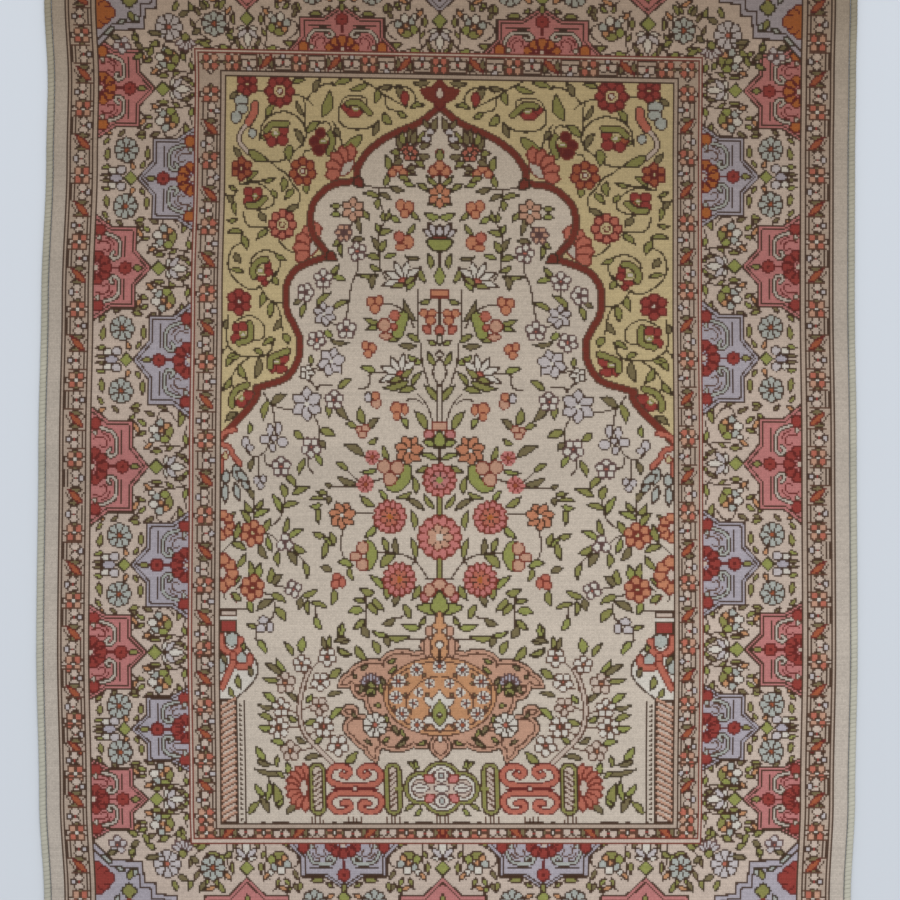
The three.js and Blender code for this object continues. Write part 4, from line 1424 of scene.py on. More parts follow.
    def draw_lavender_crown(self, at: complex, turn: float, stretch: float) -> None:
        """What grows past the tip of a cartouche that stands on the inner edge."""
        with self.placed(at, turn):
            for spot, width, height, face in (
                (18 + 5.5j, 7, 5, Dye.PEARL), (18 - 5.5j, 7, 5, Dye.PEARL), (11.5 + 6j, 7.5, 6.5, Dye.LILAC),
                (11.5 - 6j, 7.5, 6.5, Dye.LILAC), (15.5, 9, 6, Dye.LAVENDER),
            ):
                self.shape(spot + oval(width, height), face, width=FINE)
            self.shape([-0.5, 4.5 + 5.2j, 9.5, 4.5 - 5.2j], Dye.LEAF, Dye.MOSS, FINE)
            for side in (1, -1):
                self.marguerite(complex(8, side * 23 * stretch), 9.3)
            self.draw_crown_leaves((
                (23, 14, 21.5, 25, 4.4), (20, 2.2, 27.5, 2.2, 2.6), (20, 9.5, 27, 8, 3.2),
                (-8, 15, -8, 26, 4), (2, 7, 5, 14, 3.4), (-7, 33, 1, 35, 3.6), (-6, 38, 0, 36, 3.6),
                (-3, 41, 2, 44, 3.2), (21, 33, 25, 27, 3.2), (19, 35, 25, 39, 3.2), (-3, 8, -6, 14, 3.0),
                (14, 34, 9, 39, 3.0),
            ), stretch)

    def side_steps(self, side: int) -> list[float]:
        """Middles of a side border's cartouches on the cartoon, on the left for -1 and the right for 1."""
        steps = self.LEFT_STEPS if side < 0 else self.RIGHT_STEPS
        return [self.spot(side * (BORDER_OUTER + BORDER_INNER) / 2, step).imag for step in steps]

    def on_side(self, side: int) -> ContextManager[None]:
        """What is drawn inside lies on the left for -1, or mirrored on the right for 1."""
        return self.placed(0j, 0 if side < 0 else 180, flip=side > 0)

    def draw_main_border(self) -> None:
        """The main border: half stars that stand on its two edges by turns."""
        for side in (-1, 1):
            steps = [self.side_steps(side)[0] + 62, *self.side_steps(side), self.side_steps(side)[-1] - 52]
            places = [
                (steps[index], (steps[index - 1] - steps[index + 1]) / 2 / self.FULL_STEP, index % 2 == 0)
                for index in range(1, len(steps) - 1)
            ]
            with self.on_side(side):
                for middle, stretch, inner in places:
                    if inner:
                        self.draw_lavender_crown(complex(-BORDER_INNER - 43, middle), 180, stretch)
                    else:
                        self.draw_pink_crown(complex(-BORDER_OUTER + 43, middle), 0, stretch)
                for middle, stretch, inner in places:
                    heart = Dye.SAFFRON if middle > 180 else Dye.MADDER
                    if inner:
                        self.draw_cartouche(complex(-BORDER_INNER, middle), 180, Dye.LAVENDER, heart, stretch)
                    else:
                        self.draw_cartouche(complex(-BORDER_OUTER, middle), 0, Dye.BLUSH, heart, stretch)
        self.draw_end_border(1, (Dye.LAVENDER, Dye.BLUSH, Dye.BLUSH))
        self.draw_end_border(-1, (Dye.BLUSH, Dye.LAVENDER, Dye.BLUSH))
        self.draw_corners()

    def draw_end_border(self, end: int, faces: Sequence[Dye]) -> None:
        """The border across one end, where the rows are beaten tighter near the niche.

        Args:
            end: 1 for the top and -1 for the bottom.
            faces: Dyes of the cartouches, from the middle outwards.
        """
        inner = FRAME_TOP if end > 0 else FRAME_BOTTOM
        outer = end * BORDER_END
        places = []
        for place, face in enumerate(faces):
            inward = place % 2 == 0
            base = complex(-place * self.END_STEP, outer if inward else inner)
            depth = (1.06 if end > 0 else 1.15) if inward else 0.8
            places.append((base, -90 * end if inward else 90 * end, face, depth, inward))
        with self.mirrored():
            for base, turn, _, depth, inward in places:
                crown = self.draw_pink_crown if inward else self.draw_lavender_crown
                crown(base + depth * 44 * heading(turn), turn, 1.0)
            for base, turn, face, depth, inward in places:
                heart = Dye.SAFFRON if end > 0 and not inward else Dye.MADDER
                self.draw_cartouche(base, turn, face, heart, 1.0, depth)

    def draw_corners(self) -> None:
        """A stepped lavender cartouche in each corner of the border."""
        half = np.array([-2 + 78j, 13 + 62j, 35 + 61j, 37 + 45j, 45 + 45j])
        outline = np.concatenate([half, 1j * np.conj(half)[-2::-1], [-2 - 2j]])
        with self.mirrored():
            for end in (1, -1):
                corner = complex(-BORDER_OUTER, end * BORDER_END)
                heart = Dye.SAFFRON if end > 0 else Dye.MADDER
                with self.placed(corner, flip=end > 0):
                    self.shape(outline, Dye.LAVENDER, Dye.UMBER, 1.5)
                    self.stroke((outline - 20 - 20j) * 0.92 + 18.2 + 18.2j, Dye.UMBER, 1.4, closed=True)
                    for flip in (1, -1):
                        with self.placed(0j, 0 if flip > 0 else 90, flip=flip < 0):
                            self.draw_corner_half(heart)
                    self.rosette(25 + 25j, 8, 8, heart, Dye.CORAL)
                    self.leaf(12 + 12j, 45, 12, 5, Dye.MIST)
                    self.draw_corner_flowers()

    def draw_corner_half(self, heart: Dye) -> None:
        """One arm of a corner cartouche: a palmette at the edge, a bud and leaves."""
        for spot in (2 + 41j, 2 + 56j, 6 + 44j, 6 + 53j):
            self.shape(spot + ring(4.5, 14), heart, Dye.OXBLOOD, FINE)
        self.shape(9.5 + 48.5j + ring(5.0, 14), heart, Dye.OXBLOOD, FINE)
        self.fill(scallop(5.5, 6, 0.2) + 3 + 48.5j, heart)
        self.leaf(25 + 47j, 75, 9, 4.4)
        self.shape(25 + 39j + scallop(5.6, 4, 0.25), Dye.OLIVE, Dye.MOSS)
        for x, y, lean, length in ((5, 66, 320, 11), (14, 30, 60, 8), (31, 56, 250, 7), (16, 57, 330, 8)):
            self.leaf(complex(x, y), lean, length, 3.4, Dye.MIST)

    def draw_corner_flowers(self) -> None:
        """The spray between a corner cartouche and the corner of the frame, seen from the rug's corner."""
        self.marguerite(54 + 59j, 10.5, 8, Dye.LILAC, Dye.CORAL)
        self.marguerite(88 + 56j, 9.5, 8, Dye.MIST, Dye.RUST)
        self.daisy(18 + 73j, 6.8, 5, Dye.LILAC, Dye.CORAL, 90, Dye.PLUM, FINE)
        for lean in (30, 60, 90, 120, 150):
            self.shape_at(66 + 68j, lean, petal(9.5, 4.0, 1.2), Dye.LILAC, Dye.PLUM, FINE)
        self.shape(66 + 66.5j + ring(3.0, 10), Dye.OLIVE, Dye.MOSS, FINE)
        leaves = (
            # x, y, heading, length
            (34, 80, 160, 9), (34, 76, 215, 8), (38, 82, 290, 11), (30, 70, 250, 8), (38, 63, 8, 12),
            (46, 70, 150, 8), (58, 47, 290, 9), (62, 50, 340, 8), (76, 70, 20, 10), (72, 47, 250, 8),
            (82, 46, 240, 9), (92, 45, 300, 9), (97, 63, 40, 9), (78, 60, 150, 8), (62, 78, 60, 8),
            (50, 76, 30, 8), (10, 66, 20, 8), (26, 66, 40, 7),
        )
        for index, (x, y, lean, length) in enumerate(leaves):
            self.leaf(complex(x, y), lean, length, 4.2, Dye.DRAB if index % 3 == 1 else Dye.OLIVE)

    def guard_places(self, low: float, high: float, side: int = 0) -> list[float]:
        """Where the guard's motifs stand between two ends of a run.

        Along the sides they keep step with the main border, which is beaten tighter near the ends.

        Args:
            low: Start of the run.
            high: End of the run.
            side: -1 on the left, 1 on the right and 0 across an end.
        """
        if not side:
            return list(np.arange(low, high, self.GUARD_REPEAT / 4))
        steps = np.array([410.0, 337.0, *self.side_steps(side), -324.0, -393.0])
        turns = np.arange(len(steps)) * self.FULL_STEP / self.GUARD_REPEAT * 4
        places = np.interp(np.arange(0.1, turns[-1]), turns, steps)
        return [place for place in places if low <= place <= high]

    def draw_guard_run(self, start: complex, turn: float, places: Sequence[float], phase: int) -> None:
        """One straight run of a guard border, whose own real axis is the run.

        Args:
            start: The point that the run's places are measured from.
            turn: Heading of the run.
            places: Where its motifs stand.
            phase: Which motif comes first.
        """
        flower = self.draw_guard_flower
        figures = (self.draw_guard_cluster, flower, self.draw_guard_leaf, flower)
        with self.placed(start, turn):
            for index, place in enumerate(places):
                kind = (index + phase) % 4
                with self.placed(place, flip=kind == 3):
                    figures[kind]()

    def draw_guard_flower(self) -> None:
        """The guard's small flower: two rings and a bud in a bracket of thin lines."""
        for side in (-1, 1):
            self.shape(side * 3.3 - 0.6j + ring(3.2, 12), Dye.SHELL, width=FINE)
        self.shape(ring(2.2, 12) - 5j, Dye.LILAC, width=FINE)
        self.fill(ring(1.1, 8) - 0.6j, Dye.MADDER)
        for level in (5.2, 7.4):
            self.stroke([-6.2 + level * 1j, 6.2 + level * 1j], Dye.UMBER, 1.0)
        for end in (-6.6, 6.6):
            self.stroke([complex(end, 7.4), complex(end, -5.4)], Dye.COCOA, 1.0)

    def draw_guard_cluster(self) -> None:
        """The guard's four-petalled flower, with a small petal on either side."""
        for side in (-1, 1):
            self.shape(side * 6.6j + ring(1.9, 10), Dye.SHELL, width=FINE)
            self.shape(side * 6 + ring(1.6, 10), Dye.DRAB, width=FINE)
        for quarter in range(4):
            petal_at = 4.3 * heading(45 + 90 * quarter)
            self.shape(petal_at + ring(2.9, 12), (Dye.TAN, Dye.CORAL)[quarter % 2], Dye.COCOA, FINE)
        self.shape(ring(1.7, 8), Dye.PEARL, width=1.0)

    def draw_guard_leaf(self) -> None:
        """The guard's slanting leaf between two upright ones."""
        for side in (-1, 1):
            self.shape_at(complex(side * 4.6, -side * 5.2), 90 * side, petal(10, 4), Dye.DRAB, width=FINE)
            self.stroke([complex(-4.4, side * 2), complex(3.4, side * 7.4)], Dye.UMBER, 1.0)
        self.leaf(-5 - 5.4j, 46, 14.5, 4.6, Dye.RUST, Dye.OXBLOOD)

    def draw_guards(self) -> None:
        """Both guard borders."""
        for side in (-1, 1):
            with self.on_side(side):
                outer = self.guard_places(-GUARD_END + 6, GUARD_END - 6, side)
                inner = self.guard_places(FIELD_BOTTOM + 4, FIELD_TOP - 4, side)
                self.draw_guard_run(-274.8, 90, outer, 2)
                self.draw_guard_run(-178.6, 90, inner, 0)
                for level in (FRAME_BOTTOM + FIELD_BOTTOM, FRAME_TOP + FIELD_TOP):
                    with self.placed(complex(-178.6, level / 2)):
                        self.draw_guard_cluster()
        runs = (
            # level, reach, first motif
            ((GUARD_END + BORDER_END) / 2, 262, 0),
            (-(GUARD_END + BORDER_END) / 2, 262, 0),
            ((FRAME_TOP + FIELD_TOP) / 2, 170, 0),
            ((FRAME_BOTTOM + FIELD_BOTTOM) / 2, 170, 2),
        )
        with self.mirrored():
            for level, reach, phase in runs:
                self.draw_guard_run(level * 1j, 180, self.guard_places(0, reach), phase)


Link = tuple[bpy.types.NodeSocket, bpy.types.NodeSocket]


class NodeDesk:
    """Puts nodes into one tree, a short line for each."""

    def __init__(self, tree: bpy.types.NodeTree) -> None:
        """Args:
            tree: A material's node tree or a shader node group.
        """
        self.tree = tree

    def add(self, kind: str, **values: object) -> bpy.types.Node:
        """A new node.

        Args:
            kind: The node's type name.
            values: Its properties, by name.
        """
        node = self.tree.nodes.new(kind)
        for name, value in values.items():
            setattr(node, name, value)
        return node

    def feed(self, node: bpy.types.Node, **inputs: object) -> bpy.types.Node:
        """Fill a node's inputs with values or with other nodes' outputs, spaces in names as _."""
        for name, value in inputs.items():
            self.join(node.inputs[name.replace("_", " ")], value)
        return node

    def join(self, socket: bpy.types.NodeSocket, value: object) -> None:
        """Link an output to a socket, or set the socket's own value."""
        if isinstance(value, bpy.types.NodeSocket):
            self.tree.links.new(value, socket)
        else:
            socket.default_value = value

    def maths(self, operation: str, first: object, second: object = 0.0) -> bpy.types.NodeSocket:
        """One sum on numbers."""
        node = self.add("ShaderNodeMath", operation=operation)
        self.join(node.inputs[0], first)
        self.join(node.inputs[1], second)
        return node.outputs[0]

    def blend(self, kind: str, share: object, first: object, second: object) -> bpy.types.NodeSocket:
        """Two colours mixed in one of the mix node's ways."""
        node = self.add("ShaderNodeMix", data_type="RGBA", blend_type=kind)
        for name, value in (("Factor_Float", share), ("A_Color", first), ("B_Color", second)):
            self.join(next(s for s in node.inputs if s.identifier == name), value)
        return next(s for s in node.outputs if s.identifier == "Result_Color")

    def remap(self, value: object, low: float, high: float, to_low: float,
              to_high: float) -> bpy.types.NodeSocket:
        """A number carried from one range to another."""
        node = self.add("ShaderNodeMapRange")
        self.feed(node, Value=value, From_Min=low, From_Max=high, To_Min=to_low, To_Max=to_high)
        return node.outputs["Result"]


class FinishGroups:
    """Shader node groups that several finishes share. Each is built once."""

    def __init__(self) -> None:
        self.knot_grain = self._knot_grain()
        self.abrash_and_sheen = self._abrash_and_sheen()
        self.thread_twist = self._thread_twist()

    @staticmethod
    def _group(
        name: str, inputs: Sequence[tuple[str, str, object]], outputs: Sequence[tuple[str, str]],
    ) -> tuple[bpy.types.NodeTree, NodeDesk, bpy.types.Node, bpy.types.Node]:
        """An empty group with its sockets.

        Args:
            name: The group's name.
            inputs: Name, socket type and default of each input.
            outputs: Name and socket type of each output.

        Returns:
            The group, a desk for it, its input node and its output node.
        """
        tree = bpy.data.node_groups.new(name, "ShaderNodeTree")
        for label, kind, default in inputs:
            socket = tree.interface.new_socket(label, in_out="INPUT", socket_type=kind)
            if default is not None:
                socket.default_value = default
        for label, kind in outputs:
            tree.interface.new_socket(label, in_out="OUTPUT", socket_type=kind)
        desk = NodeDesk(tree)
        return tree, desk, desk.add("NodeGroupInput"), desk.add("NodeGroupOutput")

    def _knot_grain(self) -> bpy.types.NodeTree:
        """Knots in rows: every knot has a tone of its own and stands up in the middle.

        Height is the product of two half waves, |sin(pi * column)| and |sin(pi * row)|, each raised to
        a low power so that the tops are broad, with the silk's fibres as fine noise on it.
        """
        tree, desk, given, out = self._group(
            "knot_grain",
            (("Knots", "NodeSocketVector", None), ("Spread", "NodeSocketFloat", 0.08)),
            (("Tone", "NodeSocketFloat"), ("Height", "NodeSocketFloat")),
        )
        knots, spread = given.outputs["Knots"], given.outputs["Spread"]
        cell = desk.add("ShaderNodeVectorMath", operation="FLOOR")
        desk.join(cell.inputs[0], knots)
        own = desk.feed(desk.add("ShaderNodeTexWhiteNoise", noise_dimensions="2D"), Vector=cell.outputs[0])
        parts = desk.feed(desk.add("ShaderNodeSeparateXYZ"), Vector=knots)
        row = desk.add("ShaderNodeTexNoise", noise_dimensions="1D")
        desk.feed(row, W=parts.outputs["Y"], Scale=0.45, Detail=1.0)
        fibre = desk.feed(desk.add("ShaderNodeTexNoise"), Vector=knots, Scale=2.6, Detail=2.0, Roughness=0.6)
        waves = []
        for axis, power in (("X", 0.5), ("Y", 0.7)):
            turn = desk.maths("MULTIPLY", parts.outputs[axis], math.pi)
            wave = desk.maths("ABSOLUTE", desk.maths("SINE", turn))
            waves.append(desk.maths("POWER", wave, power))
        height = desk.maths("MULTIPLY", waves[0], waves[1])
        height = desk.maths("ADD", height, desk.maths("MULTIPLY", fibre.outputs["Fac"], 0.7))
        swing = desk.maths("SUBTRACT", own.outputs["Value"], 0.5)
        swing = desk.maths("ADD", swing, desk.maths("SUBTRACT", row.outputs["Fac"], 0.5))
        swing = desk.maths("ADD", swing, desk.maths("SUBTRACT", fibre.outputs["Fac"], 0.5))
        tone = desk.maths("ADD", 1.0, desk.maths("MULTIPLY", swing, spread))
        desk.join(out.inputs["Tone"], tone)
        desk.join(out.inputs["Height"], height)
        return tree

    def _abrash_and_sheen(self) -> bpy.types.NodeTree:
        """Slow changes of tone: random bands and clouds from batches of dye, and painted sheen and shade,
        darker and browner towards the top and lighter or darker from side to side.
        """
        tree, desk, given, out = self._group(
            "abrash_and_sheen",
            (("Place", "NodeSocketVector", None), ("Colour", "NodeSocketColor", (0.5, 0.5, 0.5, 1.0)),
             ("Strength", "NodeSocketFloat", 1.0)),
            (("Colour", "NodeSocketColor"),),
        )
        place, strength = given.outputs["Place"], given.outputs["Strength"]
        parts = desk.feed(desk.add("ShaderNodeSeparateXYZ"), Vector=place)
        bands = desk.add("ShaderNodeTexNoise", noise_dimensions="1D")
        desk.feed(bands, W=parts.outputs["Y"], Scale=26.0, Detail=2.0)
        clouds = desk.feed(desk.add("ShaderNodeTexNoise"), Vector=place, Scale=7.0, Detail=3.0)
        swing = desk.maths("ADD", desk.remap(bands.outputs["Fac"], 0.3, 0.7, -0.05, 0.05),
                           desk.remap(clouds.outputs["Fac"], 0.3, 0.7, -0.05, 0.05))
        swing = desk.maths("MULTIPLY", swing, strength)
        # Painted shade: up runs from 0 at the bottom to 1 at the top, and the share of painted shade grows
        # towards the top
        up = desk.remap(parts.outputs["Y"], -0.40, 0.40, 0.0, 1.0)
        painted_shade_share = desk.maths("POWER", up, 2.4)
        # Painted sheen across the rug: in the lower part the left side is darker and the right lighter; at
        # the top the right side is darker
        across = desk.remap(parts.outputs["X"], -0.30, 0.30, -0.045, 0.10)
        across = desk.maths("MULTIPLY", across, desk.maths("SUBTRACT", 1.0, painted_shade_share))
        painted_sheen_across_top = desk.maths("MULTIPLY", desk.remap(parts.outputs["X"], -0.30, 0.30, 0.02, -0.09), painted_shade_share)
        tone = desk.maths("ADD", desk.maths("ADD", 1.0, swing), desk.maths("ADD", across, painted_sheen_across_top))
        grey = desk.add("ShaderNodeCombineColor")
        for name in ("Red", "Green", "Blue"):
            desk.join(grey.inputs[name], tone)
        toned = desk.blend("MULTIPLY", 1.0, given.outputs["Colour"], grey.outputs["Color"])
        # Painted sheen and shade: darker and browner towards the top, a little lighter and bluer at the
        # bottom
        painted_sheen_shade = desk.blend("MIX", painted_shade_share, (1.03, 1.05, 1.08, 1.0), (0.50, 0.43, 0.34, 1.0))
        desk.join(out.inputs["Colour"], desk.blend("MULTIPLY", 1.0, toned, painted_sheen_shade))
        return tree

    def _thread_twist(self) -> bpy.types.NodeTree:
        """Slanting plies of a wound thread: Height is |sin(pi * (across * Slant + along))|. Tone holds
        painted shade, up to 18 per cent darker in the grooves between plies, and a random tone from fine
        noise.
        """
        tree, desk, given, out = self._group(
            "thread_twist",
            (("Thread", "NodeSocketVector", None), ("Slant", "NodeSocketFloat", 1.0)),
            (("Tone", "NodeSocketFloat"), ("Height", "NodeSocketFloat")),
        )
        parts = desk.feed(desk.add("ShaderNodeSeparateXYZ"), Vector=given.outputs["Thread"])
        across = desk.maths("MULTIPLY", parts.outputs["X"], given.outputs["Slant"])
        turn = desk.maths("MULTIPLY", desk.maths("ADD", across, parts.outputs["Y"]), math.pi)
        wave = desk.maths("ABSOLUTE", desk.maths("SINE", turn))
        fluff = desk.add("ShaderNodeTexNoise")
        desk.feed(fluff, Vector=given.outputs["Thread"], Scale=3.0, Detail=3.0)
        rough = desk.maths("MULTIPLY", fluff.outputs["Fac"], 0.6)
        desk.join(out.inputs["Height"], desk.maths("ADD", desk.maths("POWER", wave, 0.6), rough))
        # Painted shade: darker where the wave is low, in the grooves between plies, plus a random tone from
        # the noise
        tone = desk.maths("ADD", desk.remap(wave, 0.0, 0.6, 0.82, 1.0),
                          desk.remap(fluff.outputs["Fac"], 0.3, 0.7, -0.09, 0.09))
        desk.join(out.inputs["Tone"], tone)
        return tree


@dataclass(frozen=True)
class SilkFinish:
    """A finish of silk: its slot in the record and the numbers of its sheen and grain."""

    name: str
    slot: str
    roughness: float
    sheen: float
    bump: float  # height of the grain, in metres
    tone_spread: float
    sheen_roughness: float = 0.35
    specular: float = 0.2

    def pile(self, groups: FinishGroups) -> bpy.types.Material:
        """Knotted pile: a dye per knot from the attribute, with grain, abrash and painted sheen over it."""
        desk, shader, material = self._start()
        dye = desk.add("ShaderNodeAttribute", attribute_name="dye")
        knots = desk.add("ShaderNodeUVMap", uv_map="knots")
        place = desk.add("ShaderNodeTexCoord")
        grain = desk.add("ShaderNodeGroup", node_tree=groups.knot_grain)
        desk.feed(grain, Knots=knots.outputs["UV"], Spread=self.tone_spread)
        abrash_and_sheen = desk.add("ShaderNodeGroup", node_tree=groups.abrash_and_sheen)
        desk.feed(abrash_and_sheen, Place=place.outputs["Object"], Colour=dye.outputs["Color"])
        self._finish(desk, shader, abrash_and_sheen.outputs["Colour"], grain)
        return material

    def thread(self, groups: FinishGroups, dye: Dye, slant: float) -> bpy.types.Material:
        """Wound or twisted thread of one dye, on a UV map counted in turns, with painted shade between its
        plies and the same painted sheen as the pile.
        """
        desk, shader, material = self._start()
        turns = desk.add("ShaderNodeUVMap", uv_map="turns")
        place = desk.add("ShaderNodeTexCoord")
        twist = desk.add("ShaderNodeGroup", node_tree=groups.thread_twist)
        desk.feed(twist, Thread=turns.outputs["UV"], Slant=slant)
        abrash_and_sheen = desk.add("ShaderNodeGroup", node_tree=groups.abrash_and_sheen)
        desk.feed(abrash_and_sheen, Place=place.outputs["Object"], Colour=(*dye.light, 1.0), Strength=1.6)
        self._finish(desk, shader, abrash_and_sheen.outputs["Colour"], twist)
        return material

    def _start(self) -> tuple[NodeDesk, bpy.types.Node, bpy.types.Material]:
        """A new material with its shader, whose even values are set on its own sockets."""
        material = bpy.data.materials.new(self.name)
        material.use_nodes = True
        desk = NodeDesk(material.node_tree)
        shader = material.node_tree.nodes["Principled BSDF"]
        shader.inputs["Sheen Weight"].default_value = self.sheen
        shader.inputs["Sheen Roughness"].default_value = self.sheen_roughness
        shader.inputs["Specular IOR Level"].default_value = self.specular
        return desk, shader, material

    def _finish(self, desk: NodeDesk, shader: bpy.types.Node, colour: bpy.types.NodeSocket,
                grain: bpy.types.Node) -> None:
        """Tone the colour by the grain, and give the shader colour, roughness and bump."""
        grey = desk.add("ShaderNodeCombineColor")
        for name in ("Red", "Green", "Blue"):
            desk.join(grey.inputs[name], grain.outputs["Tone"])
        toned = desk.blend("MULTIPLY", 1.0, colour, grey.outputs["Color"])
        bump = desk.feed(desk.add("ShaderNodeBump"), Height=grain.outputs["Height"], Strength=0.8,
                         Distance=self.bump)
        rough = desk.remap(grain.outputs["Height"], 0.0, 1.6, self.roughness + 0.12, self.roughness - 0.06)
        desk.join(shader.inputs["Base Color"], toned)
        desk.join(shader.inputs["Roughness"], rough)
        desk.join(shader.inputs["Normal"], bump.outputs["Normal"])


@dataclass(frozen=True)
class Surface:
    """A finished mesh before Blender has it: places in millimetres, faces, and maps by corner."""

    points: np.ndarray
    quads: np.ndarray
    caps: tuple[np.ndarray, ...]  # faces with any number of corners
    bake: np.ndarray  # bake map, one pair for each corner of each face
    pattern: np.ndarray  # pattern map, the same way
    pattern_name: str
    dye: Optional[np.ndarray] = None  # colour of each face

    def make(self, name: str, material: bpy.types.Material) -> bpy.types.Object:
        """The Blender object, in metres, with its maps, its dyes and its material."""
        sizes = np.array([4] * len(self.quads) + [len(cap) for cap in self.caps], np.int32)
        starts = np.concatenate([[0], np.cumsum(sizes)[:-1]])
        corners = np.concatenate([self.quads.ravel(), *self.caps]).astype(np.int32)
        mesh = bpy.data.meshes.new(name)
        mesh.vertices.add(len(self.points))
        mesh.loops.add(len(corners))
        mesh.polygons.add(len(sizes))
        mesh.vertices.foreach_set("co", (self.points * MM).astype(np.float32).ravel())
        mesh.loops.foreach_set("vertex_index", corners)
        mesh.polygons.foreach_set("loop_start", starts.astype(np.int32))
        mesh.update(calc_edges=True)
        for label, pairs in (("OFBake", self.bake), (self.pattern_name, self.pattern)):
            layer = mesh.uv_layers.new(name=label)
            layer.uv.foreach_set("vector", pairs.astype(np.float32).ravel())
        if self.dye is not None:
            layer = mesh.attributes.new("dye", "FLOAT_COLOR", "FACE")
            rows = np.concatenate([self.dye, np.ones((len(self.dye), 1))], axis=1)
            layer.data.foreach_set("color", rows.astype(np.float32).ravel())
        mesh.shade_smooth()
        mesh.set_sharp_from_angle(angle=math.radians(SHARP_ANGLE))
        mesh.materials.append(material)
        mesh.validate()
        piece = bpy.data.objects.new(name, mesh)
        bpy.context.scene.collection.objects.link(piece)
        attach(piece, "root")
        LOG.info("%s: %d faces", name, len(sizes))
        return piece


def grid_quads(rows: int, cols: int) -> np.ndarray:
    """Quads of a grid of rows by cols vertices, anticlockwise where columns run right and rows up."""
    index = np.arange(rows * cols).reshape(rows, cols)
    corners = [index[:-1, :-1], index[:-1, 1:], index[1:, 1:], index[1:, :-1]]
    return np.stack([corner.ravel() for corner in corners], axis=1)


def rim(rows: int, cols: int) -> np.ndarray:
    """The boundary vertices of a grid, anticlockwise, starting at the first."""
    index = np.arange(rows * cols).reshape(rows, cols)
    return np.concatenate([index[0, :-1], index[:-1, -1], index[-1, :0:-1], index[:0:-1, 0]])


@dataclass(frozen=True)
class Slab:
    """A closed slab: a fine face on a grid, side walls, and a plain face that nobody sees."""

    fine: np.ndarray  # rows by columns by three, the fine face
    plain_level: float  # height of the plain face
    knots: np.ndarray  # rows by columns by two, the pattern map at the grid's points
    dye: np.ndarray  # colour of each quad of the fine face
    upward: bool = True  # whether the fine face is the upper one

    def surface(self) -> Surface:
        """The slab as one closed surface.

        The walls join the fine face's rim to a copy of it at the plain level, and the plain face is one
        polygon. In the bake map the fine face fills the square and the rest is a thin edge.
        """
        rows, cols = self.fine.shape[:2]
        top = self.fine.reshape(-1, 3)
        edge = rim(rows, cols)
        foot = top[edge].copy()
        foot[:, 2] = self.plain_level
        following = np.roll(np.arange(len(edge)), -1)
        lower = len(top) + np.arange(len(edge))
        walls = np.stack([edge, lower, lower[following], edge[following]], axis=1)
        quads = np.concatenate([walls, grid_quads(rows, cols)])
        cap = lower[::-1]
        if not self.upward:
            quads = quads[:, ::-1]
            cap = cap[::-1]
        u, v = np.meshgrid(np.linspace(0.01, 0.99, cols), np.linspace(0.01, 0.99, rows))
        bake = np.stack([u.ravel(), v.ravel()], axis=1)
        foot_bake = 0.5 + (bake[edge] - 0.5) * 1.018
        bake = np.concatenate([bake, foot_bake])
        pattern = self.knots.reshape(-1, 2)
        pattern = np.concatenate([pattern, pattern[edge]])
        corners = np.concatenate([quads.ravel(), cap])
        bake_corners = bake[corners]
        bake_corners[-len(cap):] = 0.001 + 0.004 * bake_corners[-len(cap):]
        dye = np.concatenate([self.wall_dye(rows, cols), self.dye, [Dye.CREAM.light]])
        points = np.concatenate([top, foot])
        return Surface(points, quads, (cap,), bake_corners, pattern[corners], "knots", dye)

    def wall_dye(self, rows: int, cols: int) -> np.ndarray:
        """Each wall quad's colour: the colour of the knot above it."""
        face = np.arange((rows - 1) * (cols - 1)).reshape(rows - 1, cols - 1)
        beside = np.concatenate([face[0, :], face[:, -1], face[-1, ::-1], face[::-1, 0]])
        return self.dye[beside]


@dataclass(frozen=True)
class Panel:
    """One knotted panel: its name and its first and last lines of knots, counted from the middle."""

    name: str
    left: int
    right: int
    bottom: int
    top: int


